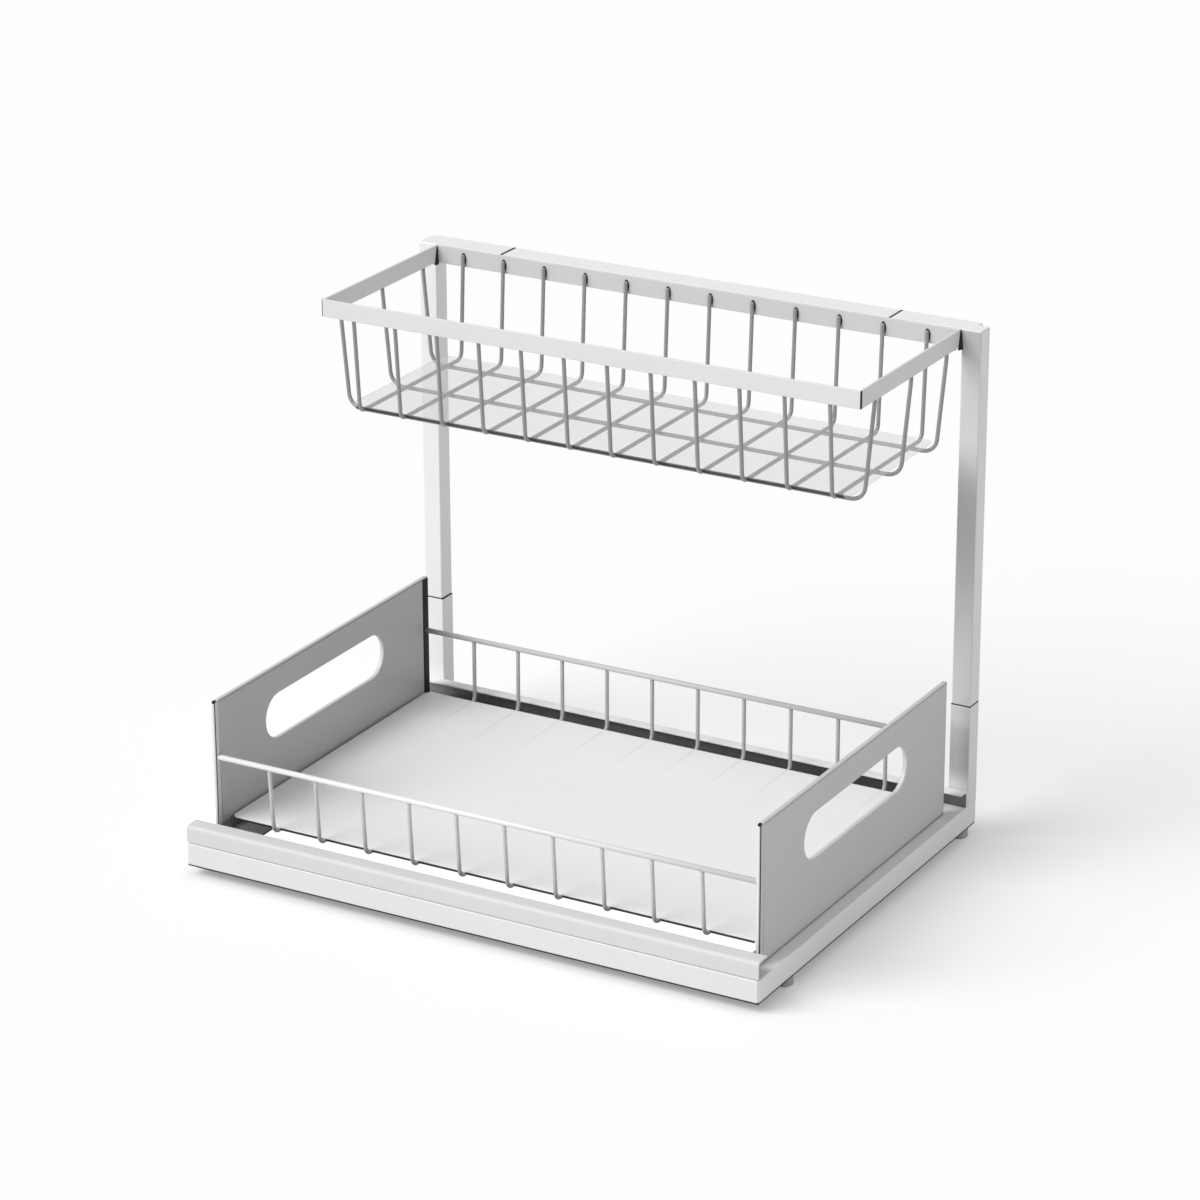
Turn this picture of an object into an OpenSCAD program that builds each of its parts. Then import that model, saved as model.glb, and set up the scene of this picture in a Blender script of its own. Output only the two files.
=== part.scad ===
// Under sink organizer: a tube base with a pull-out drawer and a fixed wire basket on two rear posts.
// X runs left to right, Y runs front to back, Z points up. The floor is at Z = 0, all sizes in mm.

/* [Frame] */
// Overall width across the two sides
frame_w = 460; // [440:5:500]
// Depth of the base frame
frame_d = 342; // [336:2:370]
// Overall height with the feet
frame_h = 386.3; // [360:0.1:420]
// Height of the flat tubes of the base
base_tube_h = 17; // [16:0.5:20]
// Width of the flat tubes of the base
base_tube_w = 19; // [18:0.5:20]
// Side of the square rear posts
post_side = 15; // [14:0.5:16]
// How much wider the lower sleeves are than the posts, on their inner side
sleeve_step = 0.6; // [0.4:0.1:0.8]
// Height of the lower sleeves above the base tubes
sleeve_h = 78.7; // [70:0.1:90]
// Wall of all tubes
tube_wall = 1.2; // [1:0.1:1.4]

/* [Feet] */
// Height of the rubber feet
foot_h = 8; // [6:0.5:10]
// Radius of the rubber feet
foot_r = 7; // [6:0.1:7.2]
// Distance from the outer side face to the foot centres
foot_side_in = 7.5; // [7.3:0.1:8]
// Distance from the front face to the front foot centres
foot_front_in = 51; // [40:1:60]
// Distance from the rear face to the rear foot centres
foot_rear_in = 13; // [11:0.5:20]
// Bevel at the lower edge of the feet
foot_bevel = 1; // [0.5:0.1:2]

/* [Crossbar] */
// Height of the crossbar and of the rear rim bar
crossbar_h = 13.5; // [13.2:0.1:16]
// How far the crossbar passes behind the posts
crossbar_over = 6; // [5:0.5:8]
// How far the rear tabs reach sideways behind the posts
crossbar_tab = 6.7; // [5:0.1:9]
// Length of the two end pieces, from the seam to the post
crossbar_end_len = 56; // [54:1:70]
// Length of the hidden joiners
joiner_len = 44; // [36:1:46]

/* [Basket] */
// Depth of the basket from its front face to the posts
basket_d = 157; // [150:1:165]
// Height from the floor wires to the top of the rim
basket_h = 83.3; // [75:0.1:95]
// Thickness of the flat rim bars
rim_t = 2; // [1.8:0.1:2.4]
// Height of the front and side rim bars
rim_h = 13; // [11:0.1:13.2]
// Gap between the rim and each post
rim_gap = 0.5; // [0.4:0.1:0.8]
// Diameter of all wires
wire_d = 3; // [2.8:0.1:3.2]
// Distance of the outer cross wires from the rim sides
basket_wire_in = 24.75; // [24.5:0.05:32]
// Distance of the wire tops below the rim top
wire_drop = 3.8; // [2:0.1:6]
// How far the front wires lean inward
front_lean = 5.5; // [4:0.1:7]
// How far the rear wires lean inward
rear_lean = 4; // [3:0.1:6]
// How far the long wires lean inward
side_lean = 4; // [2:0.1:4.5]
// Bend radius of the basket cross wires
basket_bend = 6.5; // [6:0.1:7.2]
// Bend radius of the basket long wires
long_bend = 11; // [9:0.1:12]
// Distance from the basket front to the first long wire
long_front_in = 23; // [20:0.1:34]
// Distance from the posts to the last long wire
long_rear_in = 21; // [19:0.1:30]

/* [Liners] */
// Thickness of both plastic liners
liner_t = 1; // [0.8:0.1:1.2]
// Corner radius of the basket liner
liner_r = 6; // [4:0.5:10]
// Gap between the basket liner and the lower ends of the side wires
liner_side_gap = 5; // [4:0.1:10]
// Gap between the basket liner and the front wire bends
liner_front_gap = 1; // [0.2:0.1:3]
// Gap between the basket liner and the rear wire bends
liner_rear_gap = 1; // [0.2:0.1:3]
// Corner radius of the drawer liner
tray_r = 5; // [3:0.5:10]
// Gap between the drawer liner and each side panel
tray_side_gap = 2; // [1:0.1:4]
// Gap between the drawer liner and the front wire bends
tray_front_gap = 2; // [0.2:0.1:4]
// Gap between the drawer liner and the rear wire bends
tray_rear_gap = 0.2; // [0.2:0.1:3]

/* [Drawer] */
// Distance from the frame side to the outer face of a side panel
panel_in = 10; // [9:0.1:11]
// Thickness of the side panels
panel_t = 4; // [3.5:0.1:4.5]
// Gap between the side panels and the rear posts
panel_back_gap = 18.5; // [16:0.1:24]
// Height of the side panels
panel_h = 102.9; // [98:0.1:115]
// Distance from the frame front to the panel fronts
panel_front_in = 21.7; // [20:0.1:24]
// Length of the hand slots
slot_len = 159.5; // [120:0.5:180]
// Height of the hand slots
slot_h = 34.2; // [28:0.1:38]
// Height of the slot middle above the panel bottom
slot_z = 64; // [55:0.5:75]
// Height of the front strip
strip_h = 13; // [12.8:0.1:15]
// Depth of the front strip
strip_d = 13; // [10:0.1:15]
// Depth of the rear strip
rear_strip_d = 11; // [8:0.1:12]
// Sheet thickness of the strips and corner brackets
strip_t = 1.2; // [1:0.1:1.4]
// Outer bend radius of the strips
strip_bend = 3; // [2:0.1:4]
// Diameter of the front and rear rails
rail_d = 4; // [3.6:0.1:4.4]
// Height of the rails above the panel bottom
rail_z = 59.9; // [50:0.1:80]
// Distance of the front rail behind the panel fronts
rail_front_in = 2.3; // [2.2:0.1:3]
// Distance of the rear rail in front of the panel rears
rail_rear_in = 3.5; // [2.2:0.1:5]
// Distance of the outer cross wires from the side panels
drawer_wire_in = 42.3; // [41:0.1:50]
// Height of the drawer floor wires above the base tubes
drawer_floor = 9; // [9:0.1:10]
// Bend radius of the drawer cross wires
drawer_bend = 6.5; // [6:0.1:6.8]
// How far the front wires stand behind the front rail
drawer_set = 1.1; // [0.8:0.1:1.3]
// How far the drawer front wires lean inward
drawer_lean = 3.4; // [2:0.1:4]
// Distance of the outer long wires from the front and rear rails
tray_wire_in = 21.1; // [19:0.1:40]
// How far the drawer long wires pass the outer cross wires
tray_wire_over = 5.3; // [3:0.1:8]

/* [Slides] */
// Distance from the frame front to the slide fronts
slide_front_in = 59; // [58:0.5:62]
// Distance from the slide rears to the posts
slide_back_gap = 44; // [43:0.5:60]
// Gap between moving members
slide_gap = 0.3; // [0.3:0.05:0.35]
// Sheet thickness of the slide members
slide_t = 1; // [0.9:0.05:1]
// Length of the fixing brackets
bracket_len = 40; // [30:1:50]
// Gap between the base tubes and the moving drawer
drawer_gap = 0.6; // [0.5:0.1:0.8]

/* [Hidden] */
$fn = 48;
cut = 1;
half_w = frame_w / 2;
front_y = -(frame_d + crossbar_over) / 2;
back_y = front_y + frame_d;
post_y = back_y - post_side;
post_x = half_w - post_side;
base_top = foot_h + base_tube_h;
tube_x = half_w - base_tube_w;
seam_z = base_top + sleeve_h;
sleeve_x = post_x - sleeve_step;

// Fit of plugs that slide into tubes, and of pieces that rest on others
plug_fit = 0.3;
rest_fit = 0.02;
spigot_up = 30;
spigot_down = 36;

// Crossbar
crossbar_seam_x = post_x - crossbar_end_len;
crossbar_z = frame_h - crossbar_h;
crossbar_y1 = back_y + crossbar_over;

// Basket screws, driven through holes in the rear wall of the crossbar
screw_d = 4;
screw_head_d = 7;
screw_head_h = 2.4;
screw_bite = 1.6;
screw_fit = 0.3;
access_d = 9;
screw_out = 30;
screw_in = 107;
screw_xs = [-crossbar_seam_x - screw_out, -crossbar_seam_x + screw_in,
            crossbar_seam_x - screw_in, crossbar_seam_x + screw_out];
screw_z = frame_h - crossbar_h / 2;

// Basket
rim_x = post_x - rim_gap;
rim_y = post_y - basket_d;
basket_floor = frame_h - basket_h;
basket_wires = 12;
basket_pitch = 2 * (rim_x - basket_wire_in) / (basket_wires - 1);
wire_top = frame_h - wire_drop;
wire_front_y = rim_y + rim_t + wire_d / 2;
wire_rear_y = post_y - rim_t - wire_d / 2;
wire_side_x = rim_x - rim_t - wire_d / 2;
long_wires = 3;
long_pitch = (basket_d - long_front_in - long_rear_in) / (long_wires - 1);

// Drawer
panel_x = half_w - panel_in;
panel_in_x = panel_x - panel_t;
panel_y = front_y + panel_front_in;
panel_len = post_y - panel_back_gap - panel_y;
panel_z = base_top + drawer_gap;
panel_mid_y = panel_y + panel_len / 2;
strip_top = panel_z + strip_h;
rail_front_y = panel_y + rail_front_in;
rail_rear_y = panel_y + panel_len - rail_rear_in;
rail_mid_z = panel_z + rail_z;
drawer_wires = 10;
drawer_pitch = 2 * (panel_in_x - drawer_wire_in) / (drawer_wires - 1);
drawer_floor_z = base_top + drawer_floor;
drawer_wire_top = rail_mid_z - rail_d / 2;
drawer_rear_set = 0.4;
drawer_wire_rear = rail_rear_y + drawer_rear_set;
tray_wires = 3;
tray_wire_len = 2 * (panel_in_x - drawer_wire_in + tray_wire_over);
tray_wire_y = rail_front_y + tray_wire_in;
tray_wire_pitch = (rail_rear_y - tray_wire_in - tray_wire_y) / (tray_wires - 1);

// Slides, counted outward from the fixing bracket
slide_y = front_y + slide_front_in;
slide_len = post_y - slide_back_gap - slide_y;
slide_lift = 5.5;
slide_side_gap = 0.4;
slide_mid_z = base_top + slide_lift;
bracket_t = 1.2;
bracket_reach = 5.8;
bracket_drop = 14;
bracket_rise = 10;
bracket_x = tube_x - bracket_reach;
bracket_end_in = 38;
bracket_mid_ys = [slide_y + bracket_end_in, slide_y + slide_len - bracket_end_in];
bracket_screw_in = 8;
bracket_screw_len = 4.2;
bracket_head_h = 1.5;
bracket_screw_z = foot_h + base_tube_h / 2;
outer_x = bracket_x + bracket_t;
outer_half = 4.6;
channel_in = 3;
channel_end = panel_in_x - channel_in;
middle_x = outer_x + slide_t + slide_side_gap;
middle_half = outer_half - slide_t - slide_gap;
inner_x = middle_x + slide_t + slide_side_gap;
inner_half = middle_half - slide_t - slide_gap;
plate_t = 1.2;
plate_half = 4;
corner_half = 4.3;
corner_reach = 14;
corner_back = 4;

// Straight length beside a bend, and the small swelling where a wire starts to lean
straight_end = 2;
kink_swell = 0.06;
kink_trim = 0.15;
kink_drop = 1;

// Path of a bent wire: points in a plane and a bend radius at each; the round bends all turn left
function heading(a, b) = atan2(b[1] - a[1], b[0] - a[0]);
function turn_angle(p, i) = heading(p[i], p[i + 1]) - heading(p[i - 1], p[i]);
function bend_trim(p, r, i) =
    i == 0 || i == len(p) - 1 ? 0 : r[i] == 0 ? kink_trim : r[i] * tan(turn_angle(p, i) / 2);

// How far a bend of radius r still stands in the way of a liner lying on the wires
function bend_reach(r) =
    r - sqrt(pow(r - wire_d / 2, 2) - pow(r - wire_d / 2 - liner_t - rest_fit, 2));

function u_path(a, a_low, b, b_low, top, kink_a, kink_b, low, r) =
    [[a, top], [a, kink_a], [a_low, low + r + straight_end], [a_low, low],
     [b_low, low], [b_low, low + r + straight_end], [b, kink_b], [b, top]];

// A box between two corners
module box(a, b) {
    translate(a) cube(b - a);
}

// A flat plate with round corners
module round_plate(a, b, r) {
    translate([a[0], a[1], a[2]]) linear_extrude(b[2] - a[2]) {
        w = b[0] - a[0];
        d = b[1] - a[1];
        translate([r, 0]) square([w - 2 * r, d]);
        translate([0, r]) square([w, d - 2 * r]);
        for (x = [r, w - r], y = [r, d - r]) translate([x, y]) circle(r);
    }
}

// A wire of diameter wire_d along a path drawn in the XY plane
module wire_path(p, r) {
    for (i = [0 : len(p) - 2]) {
        h = heading(p[i], p[i + 1]);
        start = bend_trim(p, r, i);
        run = norm(p[i + 1] - p[i]) - start - bend_trim(p, r, i + 1);
        translate([p[i][0], p[i][1], 0]) rotate([0, 0, h])
            translate([start, 0, 0]) rotate([0, 90, 0]) cylinder(h = run, d = wire_d);
    }
    for (i = [1 : len(p) - 2]) {
        h = heading(p[i - 1], p[i]);
        if (r[i] == 0)
            translate([p[i][0], p[i][1], 0]) sphere(d = wire_d + kink_swell);
        else
            translate([p[i][0], p[i][1], 0]) rotate([0, 0, h])
                translate([-bend_trim(p, r, i), r[i], 0]) rotate([0, 0, -90])
                    rotate_extrude(angle = turn_angle(p, i)) translate([r[i], 0]) circle(d = wire_d);
    }
}

// The same path stood up in the YZ plane or in the XZ plane
module wire_across(p, r) {
    rotate([90, 0, 90]) wire_path(p, r);
}

module wire_along(p, r) {
    rotate([90, 0, 0]) wire_path(p, r);
}

module left() {
    mirror([1, 0, 0]) children();
}

// Base tubes, mitred at the front corners
module rail_half() {
    difference() {
        translate([0, 0, foot_h]) linear_extrude(base_tube_h)
            polygon([[half_w, front_y], [half_w, back_y],
                     [tube_x, back_y], [tube_x, front_y + base_tube_w]]);
        box([tube_x + tube_wall, front_y - cut, foot_h + tube_wall],
            [half_w - tube_wall, back_y - tube_wall, base_top - tube_wall]);
        bracket_screw_places()
            cylinder(h = tube_wall + cut, d = screw_d);
    }
}

module base_rail_left() {
    color([0.9, 0.9, 0.9]) left() rail_half();
}

module base_rail_right() {
    color([0.9, 0.9, 0.9]) rail_half();
}

module base_front_bar() {
    color([0.9, 0.9, 0.9]) difference() {
        translate([0, 0, foot_h]) linear_extrude(base_tube_h)
            polygon([[-half_w, front_y], [half_w, front_y],
                     [tube_x, front_y + base_tube_w], [-tube_x, front_y + base_tube_w]]);
        box([-half_w - cut, front_y + tube_wall, foot_h + tube_wall],
            [half_w + cut, front_y + base_tube_w - tube_wall, base_top - tube_wall]);
    }
}

module base_rear_bar() {
    color([0.9, 0.9, 0.9]) difference() {
        box([-tube_x, back_y - base_tube_w, foot_h], [tube_x, back_y, base_top]);
        box([-tube_x - cut, back_y - base_tube_w + tube_wall, foot_h + tube_wall],
            [tube_x + cut, back_y - tube_wall, base_top - tube_wall]);
    }
}

module feet() {
    color([0.4, 0.4, 0.4])
        for (x = [-half_w + foot_side_in, half_w - foot_side_in],
             y = [front_y + foot_front_in, back_y - foot_rear_in])
            translate([x, y, 0]) rotate_extrude()
                polygon([[0, 0], [foot_r - foot_bevel, 0], [foot_r, foot_bevel],
                         [foot_r, foot_h], [0, foot_h]]);
}

// A sheet strip with a rounded bend, drawn in the YZ plane with its leg at y = 0
module strip_profile(depth, height) {
    difference() {
        union() {
            translate([strip_bend, 0]) square([depth - strip_bend, height]);
            square([depth, height - strip_bend]);
            translate([strip_bend, height - strip_bend]) circle(strip_bend);
        }
        translate([strip_t, -cut])
            square([depth, height - strip_bend + cut]);
        translate([strip_bend, -cut])
            square([depth, height - strip_t + cut]);
        translate([strip_bend, height - strip_bend]) circle(strip_bend - strip_t);
    }
}

module strip(depth, height) {
    translate([-half_w, 0, 0]) rotate([90, 0, 90])
        linear_extrude(frame_w) strip_profile(depth, height);
}

module rear_strip() {
    color([0.88, 0.88, 0.88]) translate([0, post_y, base_top])
        mirror([0, 1, 0]) strip(rear_strip_d, strip_top - base_top);
}

// Rear posts: sleeves on the base, posts above them, plugs inside
module sleeve_half() {
    difference() {
        box([sleeve_x, post_y, base_top], [half_w, back_y, seam_z]);
        box([sleeve_x + tube_wall, post_y + tube_wall, base_top - cut],
            [half_w - tube_wall, back_y - tube_wall, seam_z + cut]);
    }
}

module sleeve_left() {
    color([0.9, 0.9, 0.9]) left() sleeve_half();
}

module sleeve_right() {
    color([0.9, 0.9, 0.9]) sleeve_half();
}

module upper_post_half() {
    difference() {
        box([post_x, post_y, seam_z], [half_w, back_y, frame_h]);
        box([post_x + tube_wall, post_y + tube_wall, seam_z - cut],
            [half_w - tube_wall, back_y - tube_wall, frame_h - tube_wall]);
    }
}

module upper_post_left() {
    color([0.9, 0.9, 0.9]) left() upper_post_half();
}

module upper_post_right() {
    color([0.9, 0.9, 0.9]) upper_post_half();
}

module spigot_half() {
    low = tube_wall + plug_fit;
    box([post_x + tube_wall, post_y + tube_wall, seam_z],
        [half_w - tube_wall, back_y - tube_wall, seam_z + spigot_up]);
    box([post_x + low, post_y + low, seam_z - spigot_down],
        [half_w - low, back_y - low, seam_z]);
}

module post_spigots() {
    color([0.2, 0.2, 0.2]) {
        spigot_half();
        left() spigot_half();
    }
}

// Holes for the basket screws: a fitting hole in front, an access hole behind
module screw_holes(xs) {
    for (x = xs) {
        translate([x, post_y - cut, screw_z]) rotate([-90, 0, 0])
            cylinder(h = tube_wall + 2 * cut, d = screw_d + screw_fit);
        translate([x, crossbar_y1 - tube_wall - cut, screw_z]) rotate([-90, 0, 0])
            cylinder(h = tube_wall + 2 * cut, d = access_d);
    }
}

module crossbar_end_half() {
    difference() {
        union() {
            box([crossbar_seam_x, post_y, crossbar_z], [post_x, crossbar_y1, frame_h]);
            box([post_x - tube_wall, back_y, crossbar_z],
                [post_x + crossbar_tab, crossbar_y1, frame_h]);
        }
        box([crossbar_seam_x - cut, post_y + tube_wall, crossbar_z + tube_wall],
            [post_x - tube_wall, crossbar_y1 - tube_wall, frame_h - tube_wall]);
        screw_holes([screw_xs[3]]);
    }
}

module crossbar_end_left() {
    color([0.92, 0.92, 0.92]) left() crossbar_end_half();
}

module crossbar_end_right() {
    color([0.92, 0.92, 0.92]) crossbar_end_half();
}

module crossbar_centre() {
    color([0.92, 0.92, 0.92]) difference() {
        box([-crossbar_seam_x, post_y, crossbar_z], [crossbar_seam_x, crossbar_y1, frame_h]);
        box([-crossbar_seam_x - cut, post_y + tube_wall, crossbar_z + tube_wall],
            [crossbar_seam_x + cut, crossbar_y1 - tube_wall, frame_h - tube_wall]);
        screw_holes([screw_xs[1], screw_xs[2]]);
    }
}

module joiner_half() {
    low = tube_wall + plug_fit;
    box([crossbar_seam_x - joiner_len / 2, post_y + tube_wall, crossbar_z + tube_wall],
        [crossbar_seam_x, crossbar_y1 - tube_wall, frame_h - tube_wall]);
    box([crossbar_seam_x, post_y + low, crossbar_z + low],
        [crossbar_seam_x + joiner_len / 2, crossbar_y1 - low, frame_h - low]);
}

module crossbar_joiners() {
    color([0.2, 0.2, 0.2]) {
        joiner_half();
        left() joiner_half();
    }
}

// Basket: flat rim bars, bent wires, plastic liner
module basket_front_bar() {
    color([0.92, 0.92, 0.92])
        box([-rim_x, rim_y, frame_h - rim_h], [rim_x, rim_y + rim_t, frame_h]);
}

module rim_side() {
    box([rim_x - rim_t, rim_y + rim_t, frame_h - rim_h], [rim_x, post_y - rim_t, frame_h]);
}

module basket_left_bar() {
    color([0.92, 0.92, 0.92]) left() rim_side();
}

module basket_right_bar() {
    color([0.92, 0.92, 0.92]) rim_side();
}

module basket_rear_bar() {
    color([0.92, 0.92, 0.92]) difference() {
        box([-rim_x, post_y - rim_t, crossbar_z], [rim_x, post_y, frame_h]);
        for (x = screw_xs)
            translate([x, post_y - screw_bite, screw_z]) rotate([-90, 0, 0])
                cylinder(h = screw_bite + cut, d = screw_d);
    }
}

module basket_cross_wires() {
    path = u_path(wire_front_y, wire_front_y + front_lean, wire_rear_y, wire_rear_y - rear_lean,
                  wire_top, frame_h - rim_h - kink_drop, crossbar_z - kink_drop,
                  basket_floor, basket_bend);
    color([0.93, 0.93, 0.93])
        for (i = [0 : basket_wires - 1])
            translate([(i - (basket_wires - 1) / 2) * basket_pitch, 0, 0])
                wire_across(path, [0, 0, 0, basket_bend, basket_bend, 0, 0, 0]);
}

// The ends of the long wires stand under the side bars of the rim
module basket_long_wires() {
    low_x = wire_side_x - side_lean;
    top_x = rim_x - rim_t / 2;
    top = frame_h - rim_h;
    kink = top - wire_d;
    path = u_path(-top_x, -low_x, top_x, low_x, top, kink, kink, basket_floor - wire_d, long_bend);
    color([0.93, 0.93, 0.93])
        for (i = [0 : long_wires - 1])
            translate([0, rim_y + long_front_in + i * long_pitch, 0])
                wire_along(path, [0, 0, 0, long_bend, long_bend, 0, 0, 0]);
}

module basket_liner() {
    low_x = wire_side_x - side_lean - liner_side_gap;
    z = basket_floor + wire_d / 2 + rest_fit;
    reach = bend_reach(basket_bend);
    color([0.9, 0.92, 0.93, 0.6])
        round_plate([-low_x, wire_front_y + front_lean + reach + liner_front_gap, z],
                    [low_x, wire_rear_y - rear_lean - reach - liner_rear_gap, z + liner_t], liner_r);
}

module basket_screws() {
    color([0.7, 0.7, 0.7])
        for (x = screw_xs)
            translate([x, post_y, screw_z]) rotate([-90, 0, 0]) {
                translate([0, 0, -screw_bite])
                    cylinder(h = screw_bite + tube_wall, d = screw_d);
                translate([0, 0, tube_wall]) cylinder(h = screw_head_h, d = screw_head_d);
            }
}

// Slides: brackets on the base tubes, three telescopic members a side
module bracket_screw_places() {
    for (y = bracket_mid_ys, side = [-1, 1])
        translate([tube_x, y + side * (bracket_len / 2 - bracket_screw_in), bracket_screw_z])
            rotate([0, 90, 0]) children();
}

module bracket_half() {
    difference() {
        for (y = bracket_mid_ys) {
            a = y - bracket_len / 2;
            b = y + bracket_len / 2;
            box([tube_x - bracket_t, a, base_top - bracket_drop], [tube_x, b, base_top]);
            box([bracket_x, a, base_top - bracket_t], [tube_x, b, base_top]);
            box([bracket_x, a, base_top - bracket_t],
                [bracket_x + bracket_t, b, base_top + bracket_rise]);
        }
        bracket_screw_places()
            translate([0, 0, -bracket_t - cut]) cylinder(h = bracket_t + 2 * cut, d = screw_d);
    }
}

module slide_brackets() {
    color([0.75, 0.76, 0.77]) {
        bracket_half();
        left() bracket_half();
    }
}

module bracket_screw_half() {
    bracket_screw_places() {
        translate([0, 0, -bracket_t]) cylinder(h = bracket_screw_len, d = screw_d);
        translate([0, 0, -bracket_t - bracket_head_h])
            cylinder(h = bracket_head_h, d = screw_head_d);
    }
}

module bracket_screws() {
    color([0.7, 0.7, 0.7]) {
        bracket_screw_half();
        left() bracket_screw_half();
    }
}

// A channel open to the outer side
module channel(x, half_h) {
    y = slide_y + slide_len;
    difference() {
        box([x, slide_y, slide_mid_z - half_h], [channel_end, y, slide_mid_z + half_h]);
        box([x + slide_t, slide_y - cut, slide_mid_z - half_h + slide_t],
            [channel_end + cut, y + cut, slide_mid_z + half_h - slide_t]);
    }
}

module slide_outer_left() {
    color([0.75, 0.76, 0.77]) left() channel(outer_x, outer_half);
}

module slide_outer_right() {
    color([0.75, 0.76, 0.77]) channel(outer_x, outer_half);
}

module slide_middle_left() {
    color([0.75, 0.76, 0.77]) left() channel(middle_x, middle_half);
}

module slide_middle_right() {
    color([0.75, 0.76, 0.77]) channel(middle_x, middle_half);
}

module slide_inner_half() {
    y = slide_y + slide_len;
    box([inner_x, slide_y, slide_mid_z - inner_half],
        [panel_in_x - plate_t, y, slide_mid_z + inner_half]);
    box([panel_in_x - plate_t, slide_y, slide_mid_z - plate_half],
        [panel_in_x, y, slide_mid_z + plate_half]);
}

module slide_inner_left() {
    color([0.75, 0.76, 0.77]) left() slide_inner_half();
}

module slide_inner_right() {
    color([0.75, 0.76, 0.77]) slide_inner_half();
}

// Drawer: side panels with hand slots, front strip, rails, wires, liner
module side_panel_half() {
    difference() {
        box([panel_in_x, panel_y, panel_z], [panel_x, panel_y + panel_len, panel_z + panel_h]);
        translate([panel_in_x - cut, panel_mid_y, panel_z + slot_z]) rotate([90, 0, 90])
            linear_extrude(panel_t + 2 * cut) {
                square([slot_len - slot_h, slot_h], center = true);
                for (side = [-1, 1])
                    translate([side * (slot_len - slot_h) / 2, 0]) circle(d = slot_h);
            }
    }
}

module side_panel_left() {
    color([0.8, 0.8, 0.8]) left() side_panel_half();
}

module side_panel_right() {
    color([0.8, 0.8, 0.8]) side_panel_half();
}

module front_strip() {
    color([0.9, 0.9, 0.9]) translate([0, front_y, panel_z]) strip(strip_d, strip_h);
}

module corner_half() {
    y = front_y + strip_t;
    a = slide_mid_z - corner_half;
    b = slide_mid_z + corner_half;
    box([panel_in_x - strip_t, y, a], [panel_in_x, slide_y - corner_back, b]);
    box([panel_in_x - corner_reach, y, a], [panel_in_x, y + strip_t, b]);
}

module corner_brackets() {
    color([0.8, 0.8, 0.8]) {
        corner_half();
        left() corner_half();
    }
}

module drawer_rail(y) {
    translate([-panel_in_x, y, rail_mid_z]) rotate([0, 90, 0])
        cylinder(h = 2 * panel_in_x, d = rail_d);
}

module drawer_front_rail() {
    color([0.93, 0.93, 0.93]) drawer_rail(rail_front_y);
}

module drawer_rear_rail() {
    color([0.93, 0.93, 0.93]) drawer_rail(rail_rear_y);
}

module drawer_cross_wires() {
    a = rail_front_y + drawer_set;
    b = a + drawer_lean;
    path = [[a, drawer_wire_top], [a, drawer_wire_top - straight_end],
            [b, drawer_floor_z + drawer_bend + straight_end], [b, drawer_floor_z],
            [drawer_wire_rear, drawer_floor_z], [drawer_wire_rear, drawer_wire_top]];
    color([0.93, 0.93, 0.93])
        for (i = [0 : drawer_wires - 1])
            translate([(i - (drawer_wires - 1) / 2) * drawer_pitch, 0, 0])
                wire_across(path, [0, 0, 0, drawer_bend, drawer_bend, 0]);
}

module drawer_long_wires() {
    color([0.93, 0.93, 0.93])
        for (i = [0 : tray_wires - 1])
            translate([-tray_wire_len / 2, tray_wire_y + i * tray_wire_pitch,
                       drawer_floor_z - wire_d])
                rotate([0, 90, 0]) cylinder(h = tray_wire_len, d = wire_d);
}

module drawer_liner() {
    x = panel_in_x - tray_side_gap;
    z = drawer_floor_z + wire_d / 2 + rest_fit;
    reach = bend_reach(drawer_bend);
    color([0.88, 0.89, 0.9])
        round_plate([-x, rail_front_y + drawer_set + drawer_lean + reach + tray_front_gap, z],
                    [x, drawer_wire_rear - reach - tray_rear_gap, z + liner_t], tray_r);
}

base_rail_left();
base_rail_right();
base_front_bar();
base_rear_bar();
feet();
rear_strip();
sleeve_left();
sleeve_right();
post_spigots();
upper_post_left();
upper_post_right();
crossbar_end_left();
crossbar_end_right();
crossbar_centre();
crossbar_joiners();
basket_front_bar();
basket_left_bar();
basket_right_bar();
basket_rear_bar();
basket_cross_wires();
basket_long_wires();
basket_liner();
basket_screws();
slide_brackets();
bracket_screws();
slide_outer_left();
slide_outer_right();
slide_middle_left();
slide_middle_right();
slide_inner_left();
slide_inner_right();
side_panel_left();
side_panel_right();
front_strip();
corner_brackets();
drawer_front_rail();
drawer_rear_rail();
drawer_cross_wires();
drawer_long_wires();
drawer_liner();
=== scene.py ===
import math

import bmesh
import bpy
from mathutils import Matrix, Vector


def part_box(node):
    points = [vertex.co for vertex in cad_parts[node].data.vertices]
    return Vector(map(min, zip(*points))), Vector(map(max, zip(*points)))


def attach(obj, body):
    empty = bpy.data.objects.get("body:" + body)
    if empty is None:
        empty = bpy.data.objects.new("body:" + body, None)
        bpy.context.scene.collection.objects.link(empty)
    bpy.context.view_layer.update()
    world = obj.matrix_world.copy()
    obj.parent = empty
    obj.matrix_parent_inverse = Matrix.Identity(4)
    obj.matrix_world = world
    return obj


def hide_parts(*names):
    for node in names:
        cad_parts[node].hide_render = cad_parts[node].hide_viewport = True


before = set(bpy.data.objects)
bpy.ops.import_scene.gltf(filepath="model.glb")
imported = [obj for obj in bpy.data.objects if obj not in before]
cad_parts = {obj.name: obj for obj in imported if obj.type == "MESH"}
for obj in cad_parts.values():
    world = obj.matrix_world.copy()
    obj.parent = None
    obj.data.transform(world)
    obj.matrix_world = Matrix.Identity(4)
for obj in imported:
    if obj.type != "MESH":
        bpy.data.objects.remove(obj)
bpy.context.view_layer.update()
print("stage: frame loaded,", len(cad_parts), "nodes")


# Materials: every one is a small procedural recipe in object space
coat = {"toneScale": 14, "toneDetail": 4, "toneRamp": (0.35, 0.65), "grainScale": 900, "grainDetail": 2,
        "grainStrength": 0.25, "grainDepth": 0.00004}


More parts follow.
